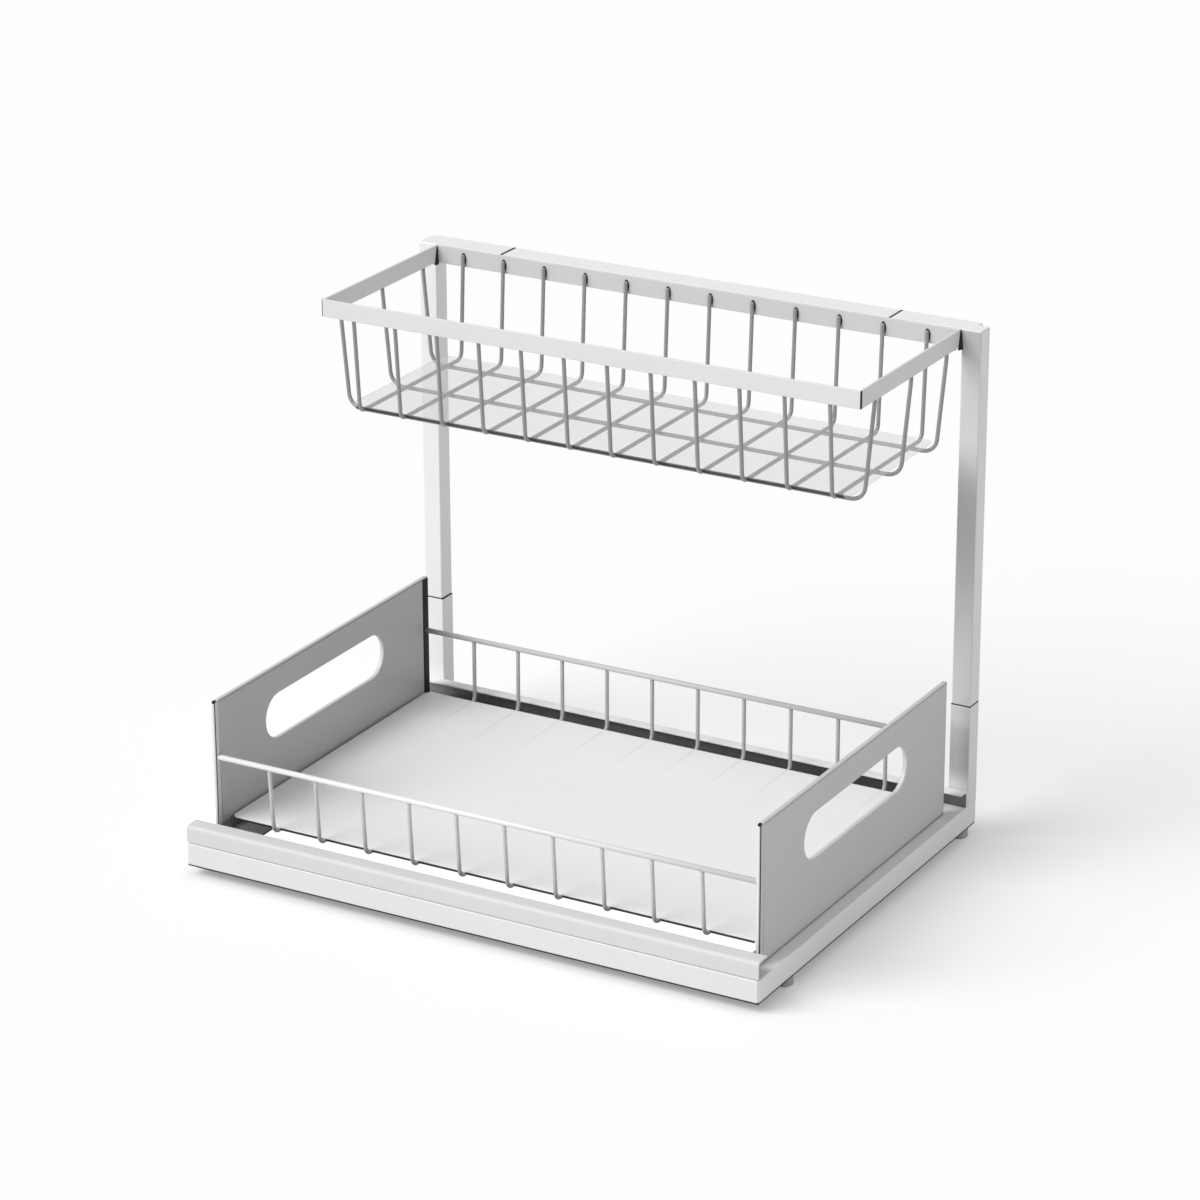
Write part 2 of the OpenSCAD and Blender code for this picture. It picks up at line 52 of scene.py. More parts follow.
def newMaterial(name):
    material = bpy.data.materials.new(name)
    material.use_nodes = True
    nodes = material.node_tree.nodes
    links = material.node_tree.links
    shader = nodes["Principled BSDF"]
    return material, nodes, links, shader


def addTone(nodes, links, shader, low, high, scale, stretch=(1, 1, 1)):
    # a soft, slow change between two close tones
    place = nodes.new("ShaderNodeTexCoord")
    mapping = nodes.new("ShaderNodeMapping")
    mapping.inputs["Scale"].default_value = stretch
    noise = nodes.new("ShaderNodeTexNoise")
    noise.inputs["Scale"].default_value = scale
    noise.inputs["Detail"].default_value = coat["toneDetail"]
    ramp = nodes.new("ShaderNodeValToRGB")
    for stop, position, tone in zip(ramp.color_ramp.elements, coat["toneRamp"], (low, high)):
        stop.position = position
        stop.color = (*tone, 1)
    links.new(place.outputs["Object"], mapping.inputs["Vector"])
    links.new(mapping.outputs["Vector"], noise.inputs["Vector"])
    links.new(noise.outputs["Fac"], ramp.inputs["Fac"])
    links.new(ramp.outputs["Color"], shader.inputs["Base Color"])
    return mapping, ramp


def addBump(nodes, links, shader, mapping, scale, depth):
    # the fine grain of the surface
    grain = nodes.new("ShaderNodeTexNoise")
    grain.inputs["Scale"].default_value = scale
    grain.inputs["Detail"].default_value = coat["grainDetail"]
    bump = nodes.new("ShaderNodeBump")
    bump.inputs["Strength"].default_value = coat["grainStrength"]
    bump.inputs["Distance"].default_value = depth
    links.new(mapping.outputs["Vector"], grain.inputs["Vector"])
    links.new(grain.outputs["Fac"], bump.inputs["Height"])
    links.new(bump.outputs["Normal"], shader.inputs["Normal"])


def addMultiply(nodes, links, shader, ramp):
    # multiplies the ramp's tone: inputs 6 and 7 are the two colours, output 2 is their product
    mix = nodes.new("ShaderNodeMix")
    mix.data_type = "RGBA"
    mix.blend_type = "MULTIPLY"
    links.new(ramp.outputs["Color"], mix.inputs[6])
    links.new(mix.outputs[2], shader.inputs["Base Color"])
    return mix


def shifted(tone, step):
    return tuple(part + step for part in tone)


def paint(name, tone, spread, rough):
    material, nodes, links, shader = newMaterial(name)
    mapping, ramp = addTone(nodes, links, shader, shifted(tone, -spread), shifted(tone, spread),
                            coat["toneScale"])
    addBump(nodes, links, shader, mapping, coat["grainScale"], coat["grainDepth"])
    shader.inputs["Roughness"].default_value = rough
    return material


# The base, rails, posts and crossbar share one white paint, here in copies of different tone set to how light
# falls on each part: painted light and shade. So do the rim and its rear bar, the front and rear drawer rails
# and the two strips; the rails' tops and the panels' inner faces get darker copies as painted shade, and the
# hem beads a lighter one as a painted highlight.
tones = {
    "framePaint": ((0.79, 0.785, 0.78), 0.006, 0.42),
    "railPaint": ((0.96, 0.955, 0.95), 0.006, 0.42),
    "railTopShade": ((0.86, 0.855, 0.85), 0.006, 0.42),
    "postPaint": ((0.88, 0.875, 0.87), 0.006, 0.42),
    "crossbarPaint": ((0.90, 0.895, 0.89), 0.006, 0.45),
    "rimPaint": ((0.77, 0.765, 0.76), 0.006, 0.40),
    "rearBarShade": ((0.66, 0.655, 0.65), 0.006, 0.40),
    "panelPaint": ((0.64, 0.635, 0.63), 0.006, 0.38),
    "panelInnerShade": ((0.47, 0.467, 0.463), 0.006, 0.38),
    "hemHighlight": ((0.84, 0.84, 0.83), 0.006, 0.35),
    "wirePaint": ((0.33, 0.33, 0.325), 0.01, 0.30),
    "frontRailPaint": ((0.86, 0.86, 0.855), 0.01, 0.35),
    "rearRailPaint": ((0.58, 0.58, 0.575), 0.01, 0.35),
    "stripPaint": ((0.70, 0.695, 0.69), 0.006, 0.6),
    "rearStripPaint": ((0.90, 0.895, 0.89), 0.006, 0.6),
    "paintedDeepShade": ((0.22, 0.215, 0.205), 0.006, 0.6),
    "paintedEdgeShade": ((0.05, 0.05, 0.05), 0.01, 0.7),
    # the darkest tone serves dark seams and dark pieces of painted shade
    "seamAndPaintedShade": ((0.02, 0.02, 0.02), 0.004, 0.8),
    "rubber": ((0.50, 0.50, 0.495), 0.01, 0.75),
    "plugPlastic": ((0.05, 0.05, 0.052), 0.006, 0.6),
}
look = {name: paint(name, *spec) for name, spec in tones.items()}


zincLook = {"low": (0.42, 0.43, 0.44), "high": (0.56, 0.57, 0.58), "scale": 60, "stretch": (1, 0.05, 1),
            "grainScale": 700, "grainDepth": 0.00005, "metal": 0.9, "rough": 0.36}


def zincSteel():
    material, nodes, links, shader = newMaterial("zincSteel")
    mapping, ramp = addTone(nodes, links, shader, zincLook["low"], zincLook["high"], zincLook["scale"],
                            zincLook["stretch"])
    addBump(nodes, links, shader, mapping, zincLook["grainScale"], zincLook["grainDepth"])
    shader.inputs["Metallic"].default_value = zincLook["metal"]
    shader.inputs["Roughness"].default_value = zincLook["rough"]
    return material


linerLook = {"low": (0.70, 0.70, 0.695), "high": (0.72, 0.72, 0.715), "scale": 20, "grainScale": 500,
             "grainDepth": 0.00003, "rough": 0.5, "alpha": 0.26}


def linerPlastic():
    material, nodes, links, shader = newMaterial("linerPlastic")
    mapping, ramp = addTone(nodes, links, shader, linerLook["low"], linerLook["high"], linerLook["scale"])
    addBump(nodes, links, shader, mapping, linerLook["grainScale"], linerLook["grainDepth"])
    shader.inputs["Roughness"].default_value = linerLook["rough"]
    shader.inputs["Alpha"].default_value = linerLook["alpha"]
    return material


# painted shade on the right post: height, and the share of its paint's brightness that its front shows there
postShade = {"span": 0.4,
             "stops": [(0.04, 0.79), (0.056, 0.54), (0.08, 0.54), (0.095, 0.75), (0.26, 0.47), (0.31, 0.82),
                       (0.335, 0.82), (0.384, 0.58)]}


def shadedPost():
    # painted shade: the right post's front face is darkened along its height, standing in for the soft shade
    # under the basket
    material, nodes, links, shader = newMaterial("shadedPost")
    tone, spread, rough = tones["postPaint"]
    mapping, base = addTone(nodes, links, shader, shifted(tone, -spread), shifted(tone, spread),
                            coat["toneScale"])
    addBump(nodes, links, shader, mapping, coat["grainScale"], coat["grainDepth"])
    shader.inputs["Roughness"].default_value = rough
    place = nodes.new("ShaderNodeTexCoord")
    heightSplit = nodes.new("ShaderNodeSeparateXYZ")
    normalSplit = nodes.new("ShaderNodeSeparateXYZ")
    heightRange = nodes.new("ShaderNodeMapRange")
    heightRange.inputs["From Max"].default_value = postShade["span"]
    ramp = nodes.new("ShaderNodeValToRGB")
    ramp.color_ramp.interpolation = "EASE"
    stops = ramp.color_ramp.elements
    while len(stops) < len(postShade["stops"]):
        stops.new(0.5)
    for stop, (height, share) in zip(stops, postShade["stops"]):
        stop.position = height / postShade["span"]
        stop.color = (share, share, share, 1)
    facing = nodes.new("ShaderNodeMath")  # one on faces that look to the front, nought elsewhere
    facing.operation = "MULTIPLY"
    facing.use_clamp = True
    facing.inputs[1].default_value = -1
    mix = addMultiply(nodes, links, shader, base)
    links.new(place.outputs["Object"], heightSplit.inputs[0])
    links.new(place.outputs["Normal"], normalSplit.inputs[0])
    links.new(heightSplit.outputs["Z"], heightRange.inputs["Value"])
    links.new(heightRange.outputs["Result"], ramp.inputs["Fac"])
    links.new(normalSplit.outputs["Y"], facing.inputs[0])
    links.new(facing.outputs[0], mix.inputs[0])
    links.new(ramp.outputs["Color"], mix.inputs[7])
    return material


trayLook = {"tone": (0.885, 0.885, 0.885), "spread": 0.008, "rough": 0.55, "grainScale": 700,
            "grainDepth": 0.00003, "pitch": 0.03857, "line": 0.0022, "wireShadeTone": 0.90, "fadeFrom": 0.055,
            "fadeTo": 0.115}


def trayPlastic():
    # grey sheet with faint painted shade lines over the wires below, only towards the back
    material, nodes, links, shader = newMaterial("trayPlastic")
    mapping, base = addTone(nodes, links, shader, shifted(trayLook["tone"], -trayLook["spread"]),
                            shifted(trayLook["tone"], trayLook["spread"]), coat["toneScale"])
    addBump(nodes, links, shader, mapping, trayLook["grainScale"], trayLook["grainDepth"])
    shader.inputs["Roughness"].default_value = trayLook["rough"]
    place = nodes.new("ShaderNodeTexCoord")
    split = nodes.new("ShaderNodeSeparateXYZ")
    wrap = nodes.new("ShaderNodeMath")
    wrap.operation = "PINGPONG"
    wrap.inputs[1].default_value = trayLook["pitch"] / 2
    line = nodes.new("ShaderNodeMapRange")
    line.interpolation_type = "SMOOTHSTEP"
    line.inputs["From Min"].default_value = trayLook["pitch"] / 2 - trayLook["line"]
    line.inputs["From Max"].default_value = trayLook["pitch"] / 2
    fade = nodes.new("ShaderNodeMapRange")
    fade.inputs["From Min"].default_value = trayLook["fadeFrom"]
    fade.inputs["From Max"].default_value = trayLook["fadeTo"]
    share = nodes.new("ShaderNodeMath")
    share.operation = "MULTIPLY"
    mix = addMultiply(nodes, links, shader, base)
    mix.inputs[7].default_value = (trayLook["wireShadeTone"], trayLook["wireShadeTone"], trayLook["wireShadeTone"], 1)
    links.new(place.outputs["Object"], split.inputs[0])
    links.new(split.outputs["X"], wrap.inputs[0])
    links.new(wrap.outputs[0], line.inputs["Value"])
    links.new(split.outputs["Y"], fade.inputs["Value"])
    links.new(line.outputs["Result"], share.inputs[0])
    links.new(fade.outputs["Result"], share.inputs[1])
    links.new(share.outputs[0], mix.inputs[0])
    return material


wireLook = {"front": (0.66, 0.66, 0.655), "rear": (0.42, 0.42, 0.415), "from": -0.10, "to": 0.10,
            "low": (0.96, 0.96, 0.96), "high": (1.0, 1.0, 1.0), "rough": 0.35}


def drawerWirePaint():
    # painted shade: the wires' tone darkens from the front wires to the rear ones
    material, nodes, links, shader = newMaterial("drawerWirePaint")
    mapping, base = addTone(nodes, links, shader, wireLook["low"], wireLook["high"], coat["toneScale"])
    addBump(nodes, links, shader, mapping, coat["grainScale"], coat["grainDepth"])
    shader.inputs["Roughness"].default_value = wireLook["rough"]
    place = nodes.new("ShaderNodeTexCoord")
    split = nodes.new("ShaderNodeSeparateXYZ")
    depth = nodes.new("ShaderNodeMapRange")
    depth.inputs["From Min"].default_value = wireLook["from"]
    depth.inputs["From Max"].default_value = wireLook["to"]
    fade = nodes.new("ShaderNodeMix")
    fade.data_type = "RGBA"
    fade.inputs[6].default_value = (*wireLook["front"], 1)
    fade.inputs[7].default_value = (*wireLook["rear"], 1)
    mix = addMultiply(nodes, links, shader, base)
    mix.inputs[0].default_value = 1
    links.new(place.outputs["Object"], split.inputs[0])
    links.new(split.outputs["Y"], depth.inputs["Value"])
    links.new(depth.outputs["Result"], fade.inputs[0])
    links.new(fade.outputs[2], mix.inputs[7])
    return material


look.update(drawerWirePaint=drawerWirePaint(), zincSteel=zincSteel(), linerPlastic=linerPlastic(),
            shadedPost=shadedPost(), trayPlastic=trayPlastic())
print("stage: materials done")


# Mesh helpers

def makeObject(name, verts, faces, material):
    mesh = bpy.data.meshes.new(name)
    mesh.from_pydata([tuple(v) for v in verts], [], faces)
    mesh.validate()
    obj = bpy.data.objects.new(name, mesh)
    bpy.context.scene.collection.objects.link(obj)
    mesh.materials.append(material)
    for poly in mesh.polygons:
        poly.use_smooth = True
    return obj


def applyModifiers(obj):
    depsgraph = bpy.context.evaluated_depsgraph_get()
    evaluated = obj.evaluated_get(depsgraph)
    fresh = bpy.data.meshes.new_from_object(evaluated)
    obj.modifiers.clear()
    obj.data = fresh
    return obj


def rounded(obj, radius, segments=3, angle=35):
    bevel = obj.modifiers.new("round", "BEVEL")
    bevel.width = radius
    bevel.segments = segments
    bevel.limit_method = "ANGLE"
    bevel.angle_limit = math.radians(angle)
    bevel.harden_normals = True
    applyModifiers(obj)
    return obj


def boxMesh(name, low, high, material):
    verts = [(x, y, z) for x in (low[0], high[0]) for y in (low[1], high[1]) for z in (low[2], high[2])]
    faces = [(0, 1, 3, 2), (4, 6, 7, 5), (0, 4, 5, 1), (2, 3, 7, 6), (0, 2, 6, 4), (1, 5, 7, 3)]
    return makeObject(name, verts, faces, material)


def roundBox(name, low, high, radius, material, segments=3):
    return rounded(boxMesh(name, low, high, material), radius, segments)


def prism(name, outline, axis, start, end, material):
    # outline is a list of 2D points; axis tells which way it is stretched
    def place(u, v, w):
        if axis == "x":
            return (w, u, v)
        if axis == "y":
            return (u, w, v)
        return (u, v, w)
    count = len(outline)
    verts = [place(u, v, start) for u, v in outline] + [place(u, v, end) for u, v in outline]
    faces = [tuple(range(count)), tuple(range(2 * count - 1, count - 1, -1))]
    for i in range(count):
        j = (i + 1) % count
        faces.append((i, i + count, j + count, j))
    obj = makeObject(name, verts, faces, material)
    fixNormals(obj)
    return obj


def fixNormals(obj, merge=0.0000005):
    # merges points that fall together and turns every face outwards
    work = bmesh.new()
    work.from_mesh(obj.data)
    bmesh.ops.remove_doubles(work, verts=work.verts, dist=merge)
    bmesh.ops.recalc_face_normals(work, faces=work.faces)
    work.to_mesh(obj.data)
    work.free()


def arcPoints(cx, cy, radius, start, end, steps):
    return [(cx + radius * math.cos(math.radians(start + (end - start) * i / steps)),
             cy + radius * math.sin(math.radians(start + (end - start) * i / steps)))
            for i in range(steps + 1)]


def roundRect(x0, y0, x1, y1, radius, steps=6):
    points = arcPoints(x1 - radius, y1 - radius, radius, 0, 90, steps)
    points += arcPoints(x0 + radius, y1 - radius, radius, 90, 180, steps)
    points += arcPoints(x0 + radius, y0 + radius, radius, 180, 270, steps)
    points += arcPoints(x1 - radius, y0 + radius, radius, 270, 360, steps)
    return points


def insetLoop(loop, amount):
    # moves each point of a counter-clockwise loop inwards by amount
    count = len(loop)
    result = []
    for i in range(count):
        before = Vector(loop[i]) - Vector(loop[i - 1])
        after = Vector(loop[(i + 1) % count]) - Vector(loop[i])
        if before.length < 1e-9:
            before = Vector(loop[i - 1]) - Vector(loop[i - 2])
        if after.length < 1e-9:
            after = Vector(loop[(i + 2) % count]) - Vector(loop[(i + 1) % count])
        n1 = Vector((-before.y, before.x)).normalized()
        n2 = Vector((-after.y, after.x)).normalized()
        bisector = n1 + n2
        if bisector.length < 1e-6:
            bisector = n1
        bisector.normalize()
        result.append(tuple(Vector(loop[i]) + bisector * (amount / max(bisector.dot(n1), 0.4))))
    return result


def plate(name, outer, holes, thickness, edge, place, material, steps=4):
    # a flat plate with rounded edges all round its outline and its holes
    work = bmesh.new()
    flatLoops = {0: [], 1: []}
    for loop, sign in [(outer, 1)] + [(h, -1) for h in holes]:
        rings = []
        for side in (0, 1):
            for k in range(steps + 1):
                turn = math.radians(90 * k / steps)
                if side == 0:
                    inset, depth = edge * (1 - math.sin(turn)), edge * (1 - math.cos(turn))
                else:
                    inset, depth = edge * (1 - math.cos(turn)), thickness - edge * (1 - math.sin(turn))
                points = insetLoop(loop, sign * inset)
                rings.append([work.verts.new(place(u, v, depth)) for u, v in points])
        for a, b in zip(rings, rings[1:]):
            for i in range(len(a)):
                j = (i + 1) % len(a)
                quad = (a[i], a[j], b[j], b[i])
                if sign < 0:
                    quad = quad[::-1]
                work.faces.new(quad)
        flatLoops[0].append(rings[0])
        flatLoops[1].append(rings[-1])
    work.verts.ensure_lookup_table()
    for side in (0, 1):
        edges = []
        for ring in flatLoops[side]:
            for i in range(len(ring)):
                edges.append(work.edges.get((ring[i], ring[(i + 1) % len(ring)])))
        if len(flatLoops[side]) == 1:
            work.faces.new(flatLoops[side][0])
        else:
            bmesh.ops.triangle_fill(work, use_beauty=True, use_dissolve=False, edges=edges)
    bmesh.ops.recalc_face_normals(work, faces=work.faces)
    mesh = bpy.data.meshes.new(name)
    work.to_mesh(mesh)
    work.free()
    obj = bpy.data.objects.new(name, mesh)
    bpy.context.scene.collection.objects.link(obj)
    mesh.materials.append(material)
    for poly in mesh.polygons:
        poly.use_smooth = True
    weighted = obj.modifiers.new("normals", "WEIGHTED_NORMAL")
    weighted.keep_sharp = True
    applyModifiers(obj)
    return obj


def wirePoints(corners, radii, steps=8):
    # a path of straight runs joined by arcs
    points = [Vector(corners[0])]
    for i in range(1, len(corners) - 1):
        here = Vector(corners[i])
        before = (here - Vector(corners[i - 1])).normalized()
        after = (Vector(corners[i + 1]) - here).normalized()
        turn = before.angle(after)
        if radii[i] == 0 or turn < 1e-4:
            points.append(here)
            continue
        trim = radii[i] * math.tan(turn / 2)
        start = here - before * trim
        axis = before.cross(after).normalized()
        centre = start + axis.cross(before) * radii[i]
        count = max(3, int(steps * turn / (math.pi / 2)) + 1)
        for k in range(count + 1):
            spin = Matrix.Rotation(turn * k / count, 3, axis)
            points.append(centre + spin @ (start - centre))
    points.append(Vector(corners[-1]))
    return points


domeSteps = [(0, 0.45), (0.14, 0.78), (0.42, 0.97), (0.7, 1)]  # way in and width, as shares of the radius


def tubeMesh(name, paths, radius, material, sides=14, domes=True):
    # round wires along their paths, with domed or flat ends
    verts, faces = [], []
    endSteps = domeSteps if domes else [(0, 1)]
    for points in paths:
        tangents = []
        for i in range(len(points)):
            before = points[max(i - 1, 0)]
            after = points[min(i + 1, len(points) - 1)]
            tangents.append((after - before).normalized())
        side = tangents[0].orthogonal().normalized()
        stations = [(points[0] + tangents[0] * radius * way, tangents[0], radius * width)
                    for way, width in endSteps]
        stations += [(points[i], tangents[i], radius) for i in range(1, len(points) - 1)]
        stations += [(points[-1] - tangents[-1] * radius * way, tangents[-1], radius * width)
                     for way, width in reversed(endSteps)]
        rings = []
        for centre, along, reach in stations:
            side = (side - along * side.dot(along)).normalized()
            up = along.cross(side)
            rings.append(len(verts))
            for s in range(sides):
                turn = 2 * math.pi * s / sides
                verts.append(centre + (side * math.cos(turn) + up * math.sin(turn)) * reach)
        for a, b in zip(rings, rings[1:]):
            for s in range(sides):
                t = (s + 1) % sides
                faces.append((a + s, a + t, b + t, b + s))
        faces.append(tuple(rings[0] + s for s in range(sides - 1, -1, -1)))
        faces.append(tuple(rings[-1] + s for s in range(sides)))
    return makeObject(name, verts, faces, material)


def blobMesh(name, centres, half, material, rings=6, sides=12):
    # small weld beads: balls flattened to the same three half widths
    verts, faces = [], []
    for centre in centres:
        top = len(verts)
        verts.append((centre[0], centre[1], centre[2] + half[2]))
        for r in range(1, rings):
            tilt = math.pi * r / rings
            for s in range(sides):
                turn = 2 * math.pi * s / sides
                verts.append((centre[0] + half[0] * math.sin(tilt) * math.cos(turn),
                              centre[1] + half[1] * math.sin(tilt) * math.sin(turn),
                              centre[2] + half[2] * math.cos(tilt)))
        bottom = len(verts)
        verts.append((centre[0], centre[1], centre[2] - half[2]))
        lastRow = bottom - sides
        for s in range(sides):
            t = (s + 1) % sides
            faces.append((top, top + 1 + s, top + 1 + t))
            faces.append((bottom, lastRow + t, lastRow + s))
        for r in range(rings - 2):
            row = top + 1 + r * sides
            for s in range(sides):
                t = (s + 1) % sides
                faces.append((row + s, row + sides + s, row + sides + t, row + t))
    return makeObject(name, verts, faces, material)


def joined(name, objects):
    # one object out of several that share a look
    work = bmesh.new()
    for obj in objects:
        work.from_mesh(obj.data)
    mesh = bpy.data.meshes.new(name)
    work.to_mesh(mesh)
    work.free()
    mesh.materials.append(objects[0].data.materials[0])
    result = bpy.data.objects.new(name, mesh)
    bpy.context.scene.collection.objects.link(result)
    for obj in objects:
        bpy.data.objects.remove(obj)
    return result


def carve(obj, cutters, edge=0.0):
    # cuts the other objects out of obj and breaks the new sharp edges a little
    for cutter in cutters:
        hollow = obj.modifiers.new("carve", "BOOLEAN")
        hollow.operation = "DIFFERENCE"
        hollow.solver = "EXACT"
        hollow.object = cutter
    applyModifiers(obj)
    for cutter in cutters:
        bpy.data.objects.remove(cutter)
    if edge:
        rounded(obj, edge, 2, 60)
    return obj


def turned(name, profile, places, material, turns=32):
    # a lathe piece: radius and height pairs, placed by one matrix for each copy
    verts, faces = [], []
    for place in places:
        start = len(verts)
        for radius, height in profile:
            for s in range(turns):
                a = 2 * math.pi * s / turns
                verts.append(place @ Vector((radius * math.cos(a), radius * math.sin(a), height)))
        for r in range(len(profile) - 1):
            for s in range(turns):
                t = (s + 1) % turns
                p, q = start + r * turns, start + (r + 1) * turns
                faces.append((p + s, p + t, q + t, q + s))
        faces.append(tuple(start + s for s in range(turns - 1, -1, -1)))
        top = start + (len(profile) - 1) * turns
        faces.append(tuple(top + s for s in range(turns)))
    obj = makeObject(name, verts, faces, material)
    fixNormals(obj)
    return obj


screwShape = {"rimHeight": 0.45, "shoulder": (0.88, 0.8), "top": 0.55, "slotLong": 0.62, "slotWide": 0.16,
              "slotFloor": 0.5, "slotRoof": 1.5}


def screwMesh(name, places, headRadius, headHeight, shankRadius, shankLength, material):
    # round-headed screws with a cross recess, made once and copied to every place
    shoulder, roof = screwShape["shoulder"], headHeight * screwShape["slotRoof"]
    profile = [(shankRadius, -shankLength), (shankRadius, 0), (headRadius, 0),
               (headRadius, headHeight * screwShape["rimHeight"]),
               (headRadius * shoulder[0], headHeight * shoulder[1]),
               (headRadius * screwShape["top"], headHeight)]
    first = turned(name, profile, [Matrix.Identity(4)], material)
    wide, thin = headRadius * screwShape["slotLong"], headRadius * screwShape["slotWide"]
    deep = headHeight * screwShape["slotFloor"]
    carve(first, [boxMesh("slotA", (-wide, -thin, deep), (wide, thin, roof), material),
                  boxMesh("slotB", (-thin, -wide, deep), (thin, wide, roof), material)])
    copies = []
    for place in places:
        copy = bpy.data.objects.new(name, first.data.copy())
        copy.data.transform(place)
        bpy.context.scene.collection.objects.link(copy)
        copies.append(copy)
    bpy.data.objects.remove(first)
    return joined(name, copies)


def aim(place, direction):
    # a matrix that stands a turned piece at place with its top towards direction
    spin = Vector(direction).to_track_quat("Z", "Y").to_matrix().to_4x4()
    return Matrix.Translation(Vector(place)) @ spin


def put(obj, body, slotName, *nodes):
    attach(obj, body)
    if nodes:
        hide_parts(*nodes)
    return obj


def size(node):
    low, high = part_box(node)
    return Vector(low), Vector(high)


sides = {"left": -1, "right": 1}


# Base frame: tubes with rounded edges, mitred at the front corners, the rails' tops in a darker copy of their
# paint as painted shade, and a painted shadow line below
base = {"edge": 0.0012, "topFacing": 0.8, "underInset": 0.0004, "underDrop": 0.0006, "underRise": 0.001}
railLow, railHigh = size("base_rail_right")
barLow, barHigh = size("base_front_bar")
tubeWidth = railHigh.x - railLow.x
for sideName, sign in sides.items():
    x1, x0 = sign * railHigh.x, sign * railLow.x
    outline = [(x1, railLow.y), (x1, railHigh.y), (x0, railHigh.y), (x0, railLow.y + tubeWidth)]
    rail = prism("baseRail" + sideName, outline, "z", railLow.z, railHigh.z, look["railPaint"])
    rounded(rail, base["edge"])
    # the rails' top faces get a darker copy of the paint: painted shade
    rail.data.materials.append(look["railTopShade"])
    for poly in rail.data.polygons:
        if poly.normal.z > base["topFacing"]:
            poly.material_index = 1
    put(rail, "frame", "frame_paint", "base_rail_" + sideName)
outline = [(barLow.x, barLow.y), (barHigh.x, barLow.y),
           (barHigh.x - tubeWidth, barLow.y + tubeWidth), (barLow.x + tubeWidth, barLow.y + tubeWidth)]
bar = prism("baseFrontBar", outline, "z", barLow.z, barHigh.z, look["framePaint"])
put(rounded(bar, base["edge"]), "frame", "frame_paint", "base_front_bar")
low, high = size("base_rear_bar")
put(roundBox("baseRearBar", low, high, base["edge"], look["framePaint"]),
    "frame", "frame_paint", "base_rear_bar")
under = []
inset = base["underInset"]
for node in ("base_front_bar", "base_rail_left", "base_rail_right"):
    low, high = size(node)
    if high.y > barHigh.y:
        low.y = barHigh.y - 2 * inset
    under.append(boxMesh("under", (low.x + inset, low.y + inset, low.z - base["underDrop"]),
                         (high.x - inset, high.y - inset, low.z + base["underRise"]), look["seamAndPaintedShade"]))
put(joined("baseUnderShadow", under), "frame", "dark_plastic")
print("stage: base done")


# Feet: turned rubber pads with a waist and a shallow recess underneath
feet = {"radius": 0.007, "shadeLine": 0.0009, "recess": 0.0012, "recessShare": 0.55, "rimShare": 0.62,
        "soleShare": 0.80, "soleEdge": 0.0002, "waist": 0.0004,
        "waistHeights": (0.0028, 0.0034, 0.0046, 0.0052), "turns": 36}
low, high = size("feet")
radius = feet["radius"]
waistRadii = (radius, radius - feet["waist"], radius - feet["waist"], radius)
profile = [(0, feet["recess"]), (radius * feet["recessShare"], feet["recess"]),
           (radius * feet["rimShare"], feet["soleEdge"]), (radius * feet["soleShare"], 0),
           (radius - feet["shadeLine"], feet["soleEdge"]), (radius, feet["shadeLine"])]
profile += list(zip(waistRadii, feet["waistHeights"])) + [(radius, high.z)]
places = [Matrix.Translation((x, y, 0)) for x in (low.x + radius, high.x - radius)
          for y in (low.y + radius, high.y - radius)]
put(turned("footPads", profile, places, look["rubber"], feet["turns"]), "frame", "rubber_feet", "feet")
print("stage: feet done")


# Posts and sleeves: square tubes, the sleeve a little wider, a dark joint line between
posts = {"edge": 0.0011, "sleeveEdge": 0.0008, "jointGap": 0.0004, "jointInset": 0.0002, "jointTop": 0.0001,
         "topDrop": 0.00015}
for sideName, sign in sides.items():
    low, high = size("sleeve_" + sideName)
    inset = posts["jointInset"]
    jointLow = (low.x + inset, low.y + inset, high.z - posts["jointGap"] - inset)
    jointHigh = (high.x - inset, high.y - inset, high.z - posts["jointTop"])
    joint = boxMesh("jointLine" + sideName, jointLow, jointHigh, look["seamAndPaintedShade"])
    put(joint, "frame", "dark_plastic")
    high.z -= posts["jointGap"]
    # the right post and sleeve carry the painted shade on their fronts
    postLook = look["shadedPost"] if sign > 0 else look["postPaint"]
    put(roundBox("sleeve" + sideName, low, high, posts["sleeveEdge"], postLook),
        "frame", "frame_paint", "sleeve_" + sideName)
    low, high = size("upper_post_" + sideName)
    high.z -= posts["topDrop"]
    put(roundBox("upperPost" + sideName, low, high, posts["edge"], postLook),
        "frame", "frame_paint", "upper_post_" + sideName)
print("stage: posts done")


# Crossbar: three tube pieces meeting at two dark seams, with screw holes in the back
crossbar = {"edge": 0.0011, "endEdge": {"left": 0.0009, "right": 0.0011},
            "cornerCut": {"left": 0.0045, "right": 0.0006}, "leftShort": 0.0004,
            "seam": 0.0007, "seamHalf": 0.0008, "seamInset": 0.0001,
            "screwPlaces": (0.052, 0.189), "accessRadius": 0.0045, "accessPast": 0.004, "accessTurns": 40,
            "holeEdge": 0.00025, "skin": 0.0012, "skinStart": 0.0009, "skinInset": 0.0005, "skinEdge": 0.0002}
screwLow, screwHigh = size("basket_screws")
barLow, barHigh = size("crossbar_centre")
screwZ = (barLow.z + barHigh.z) / 2
screwXs = [sign * x for sign in (-1, 1) for x in crossbar["screwPlaces"]]


def accessBores(low, high):
    depth = high.y - screwHigh.y + crossbar["accessPast"]
    profile = [(crossbar["accessRadius"], 0), (crossbar["accessRadius"], depth)]
    return [turned("bore", profile, [aim((x, screwHigh.y, screwZ), (0, 1, 0))], look["crossbarPaint"],
                   crossbar["accessTurns"]) for x in screwXs if low.x < x < high.x]


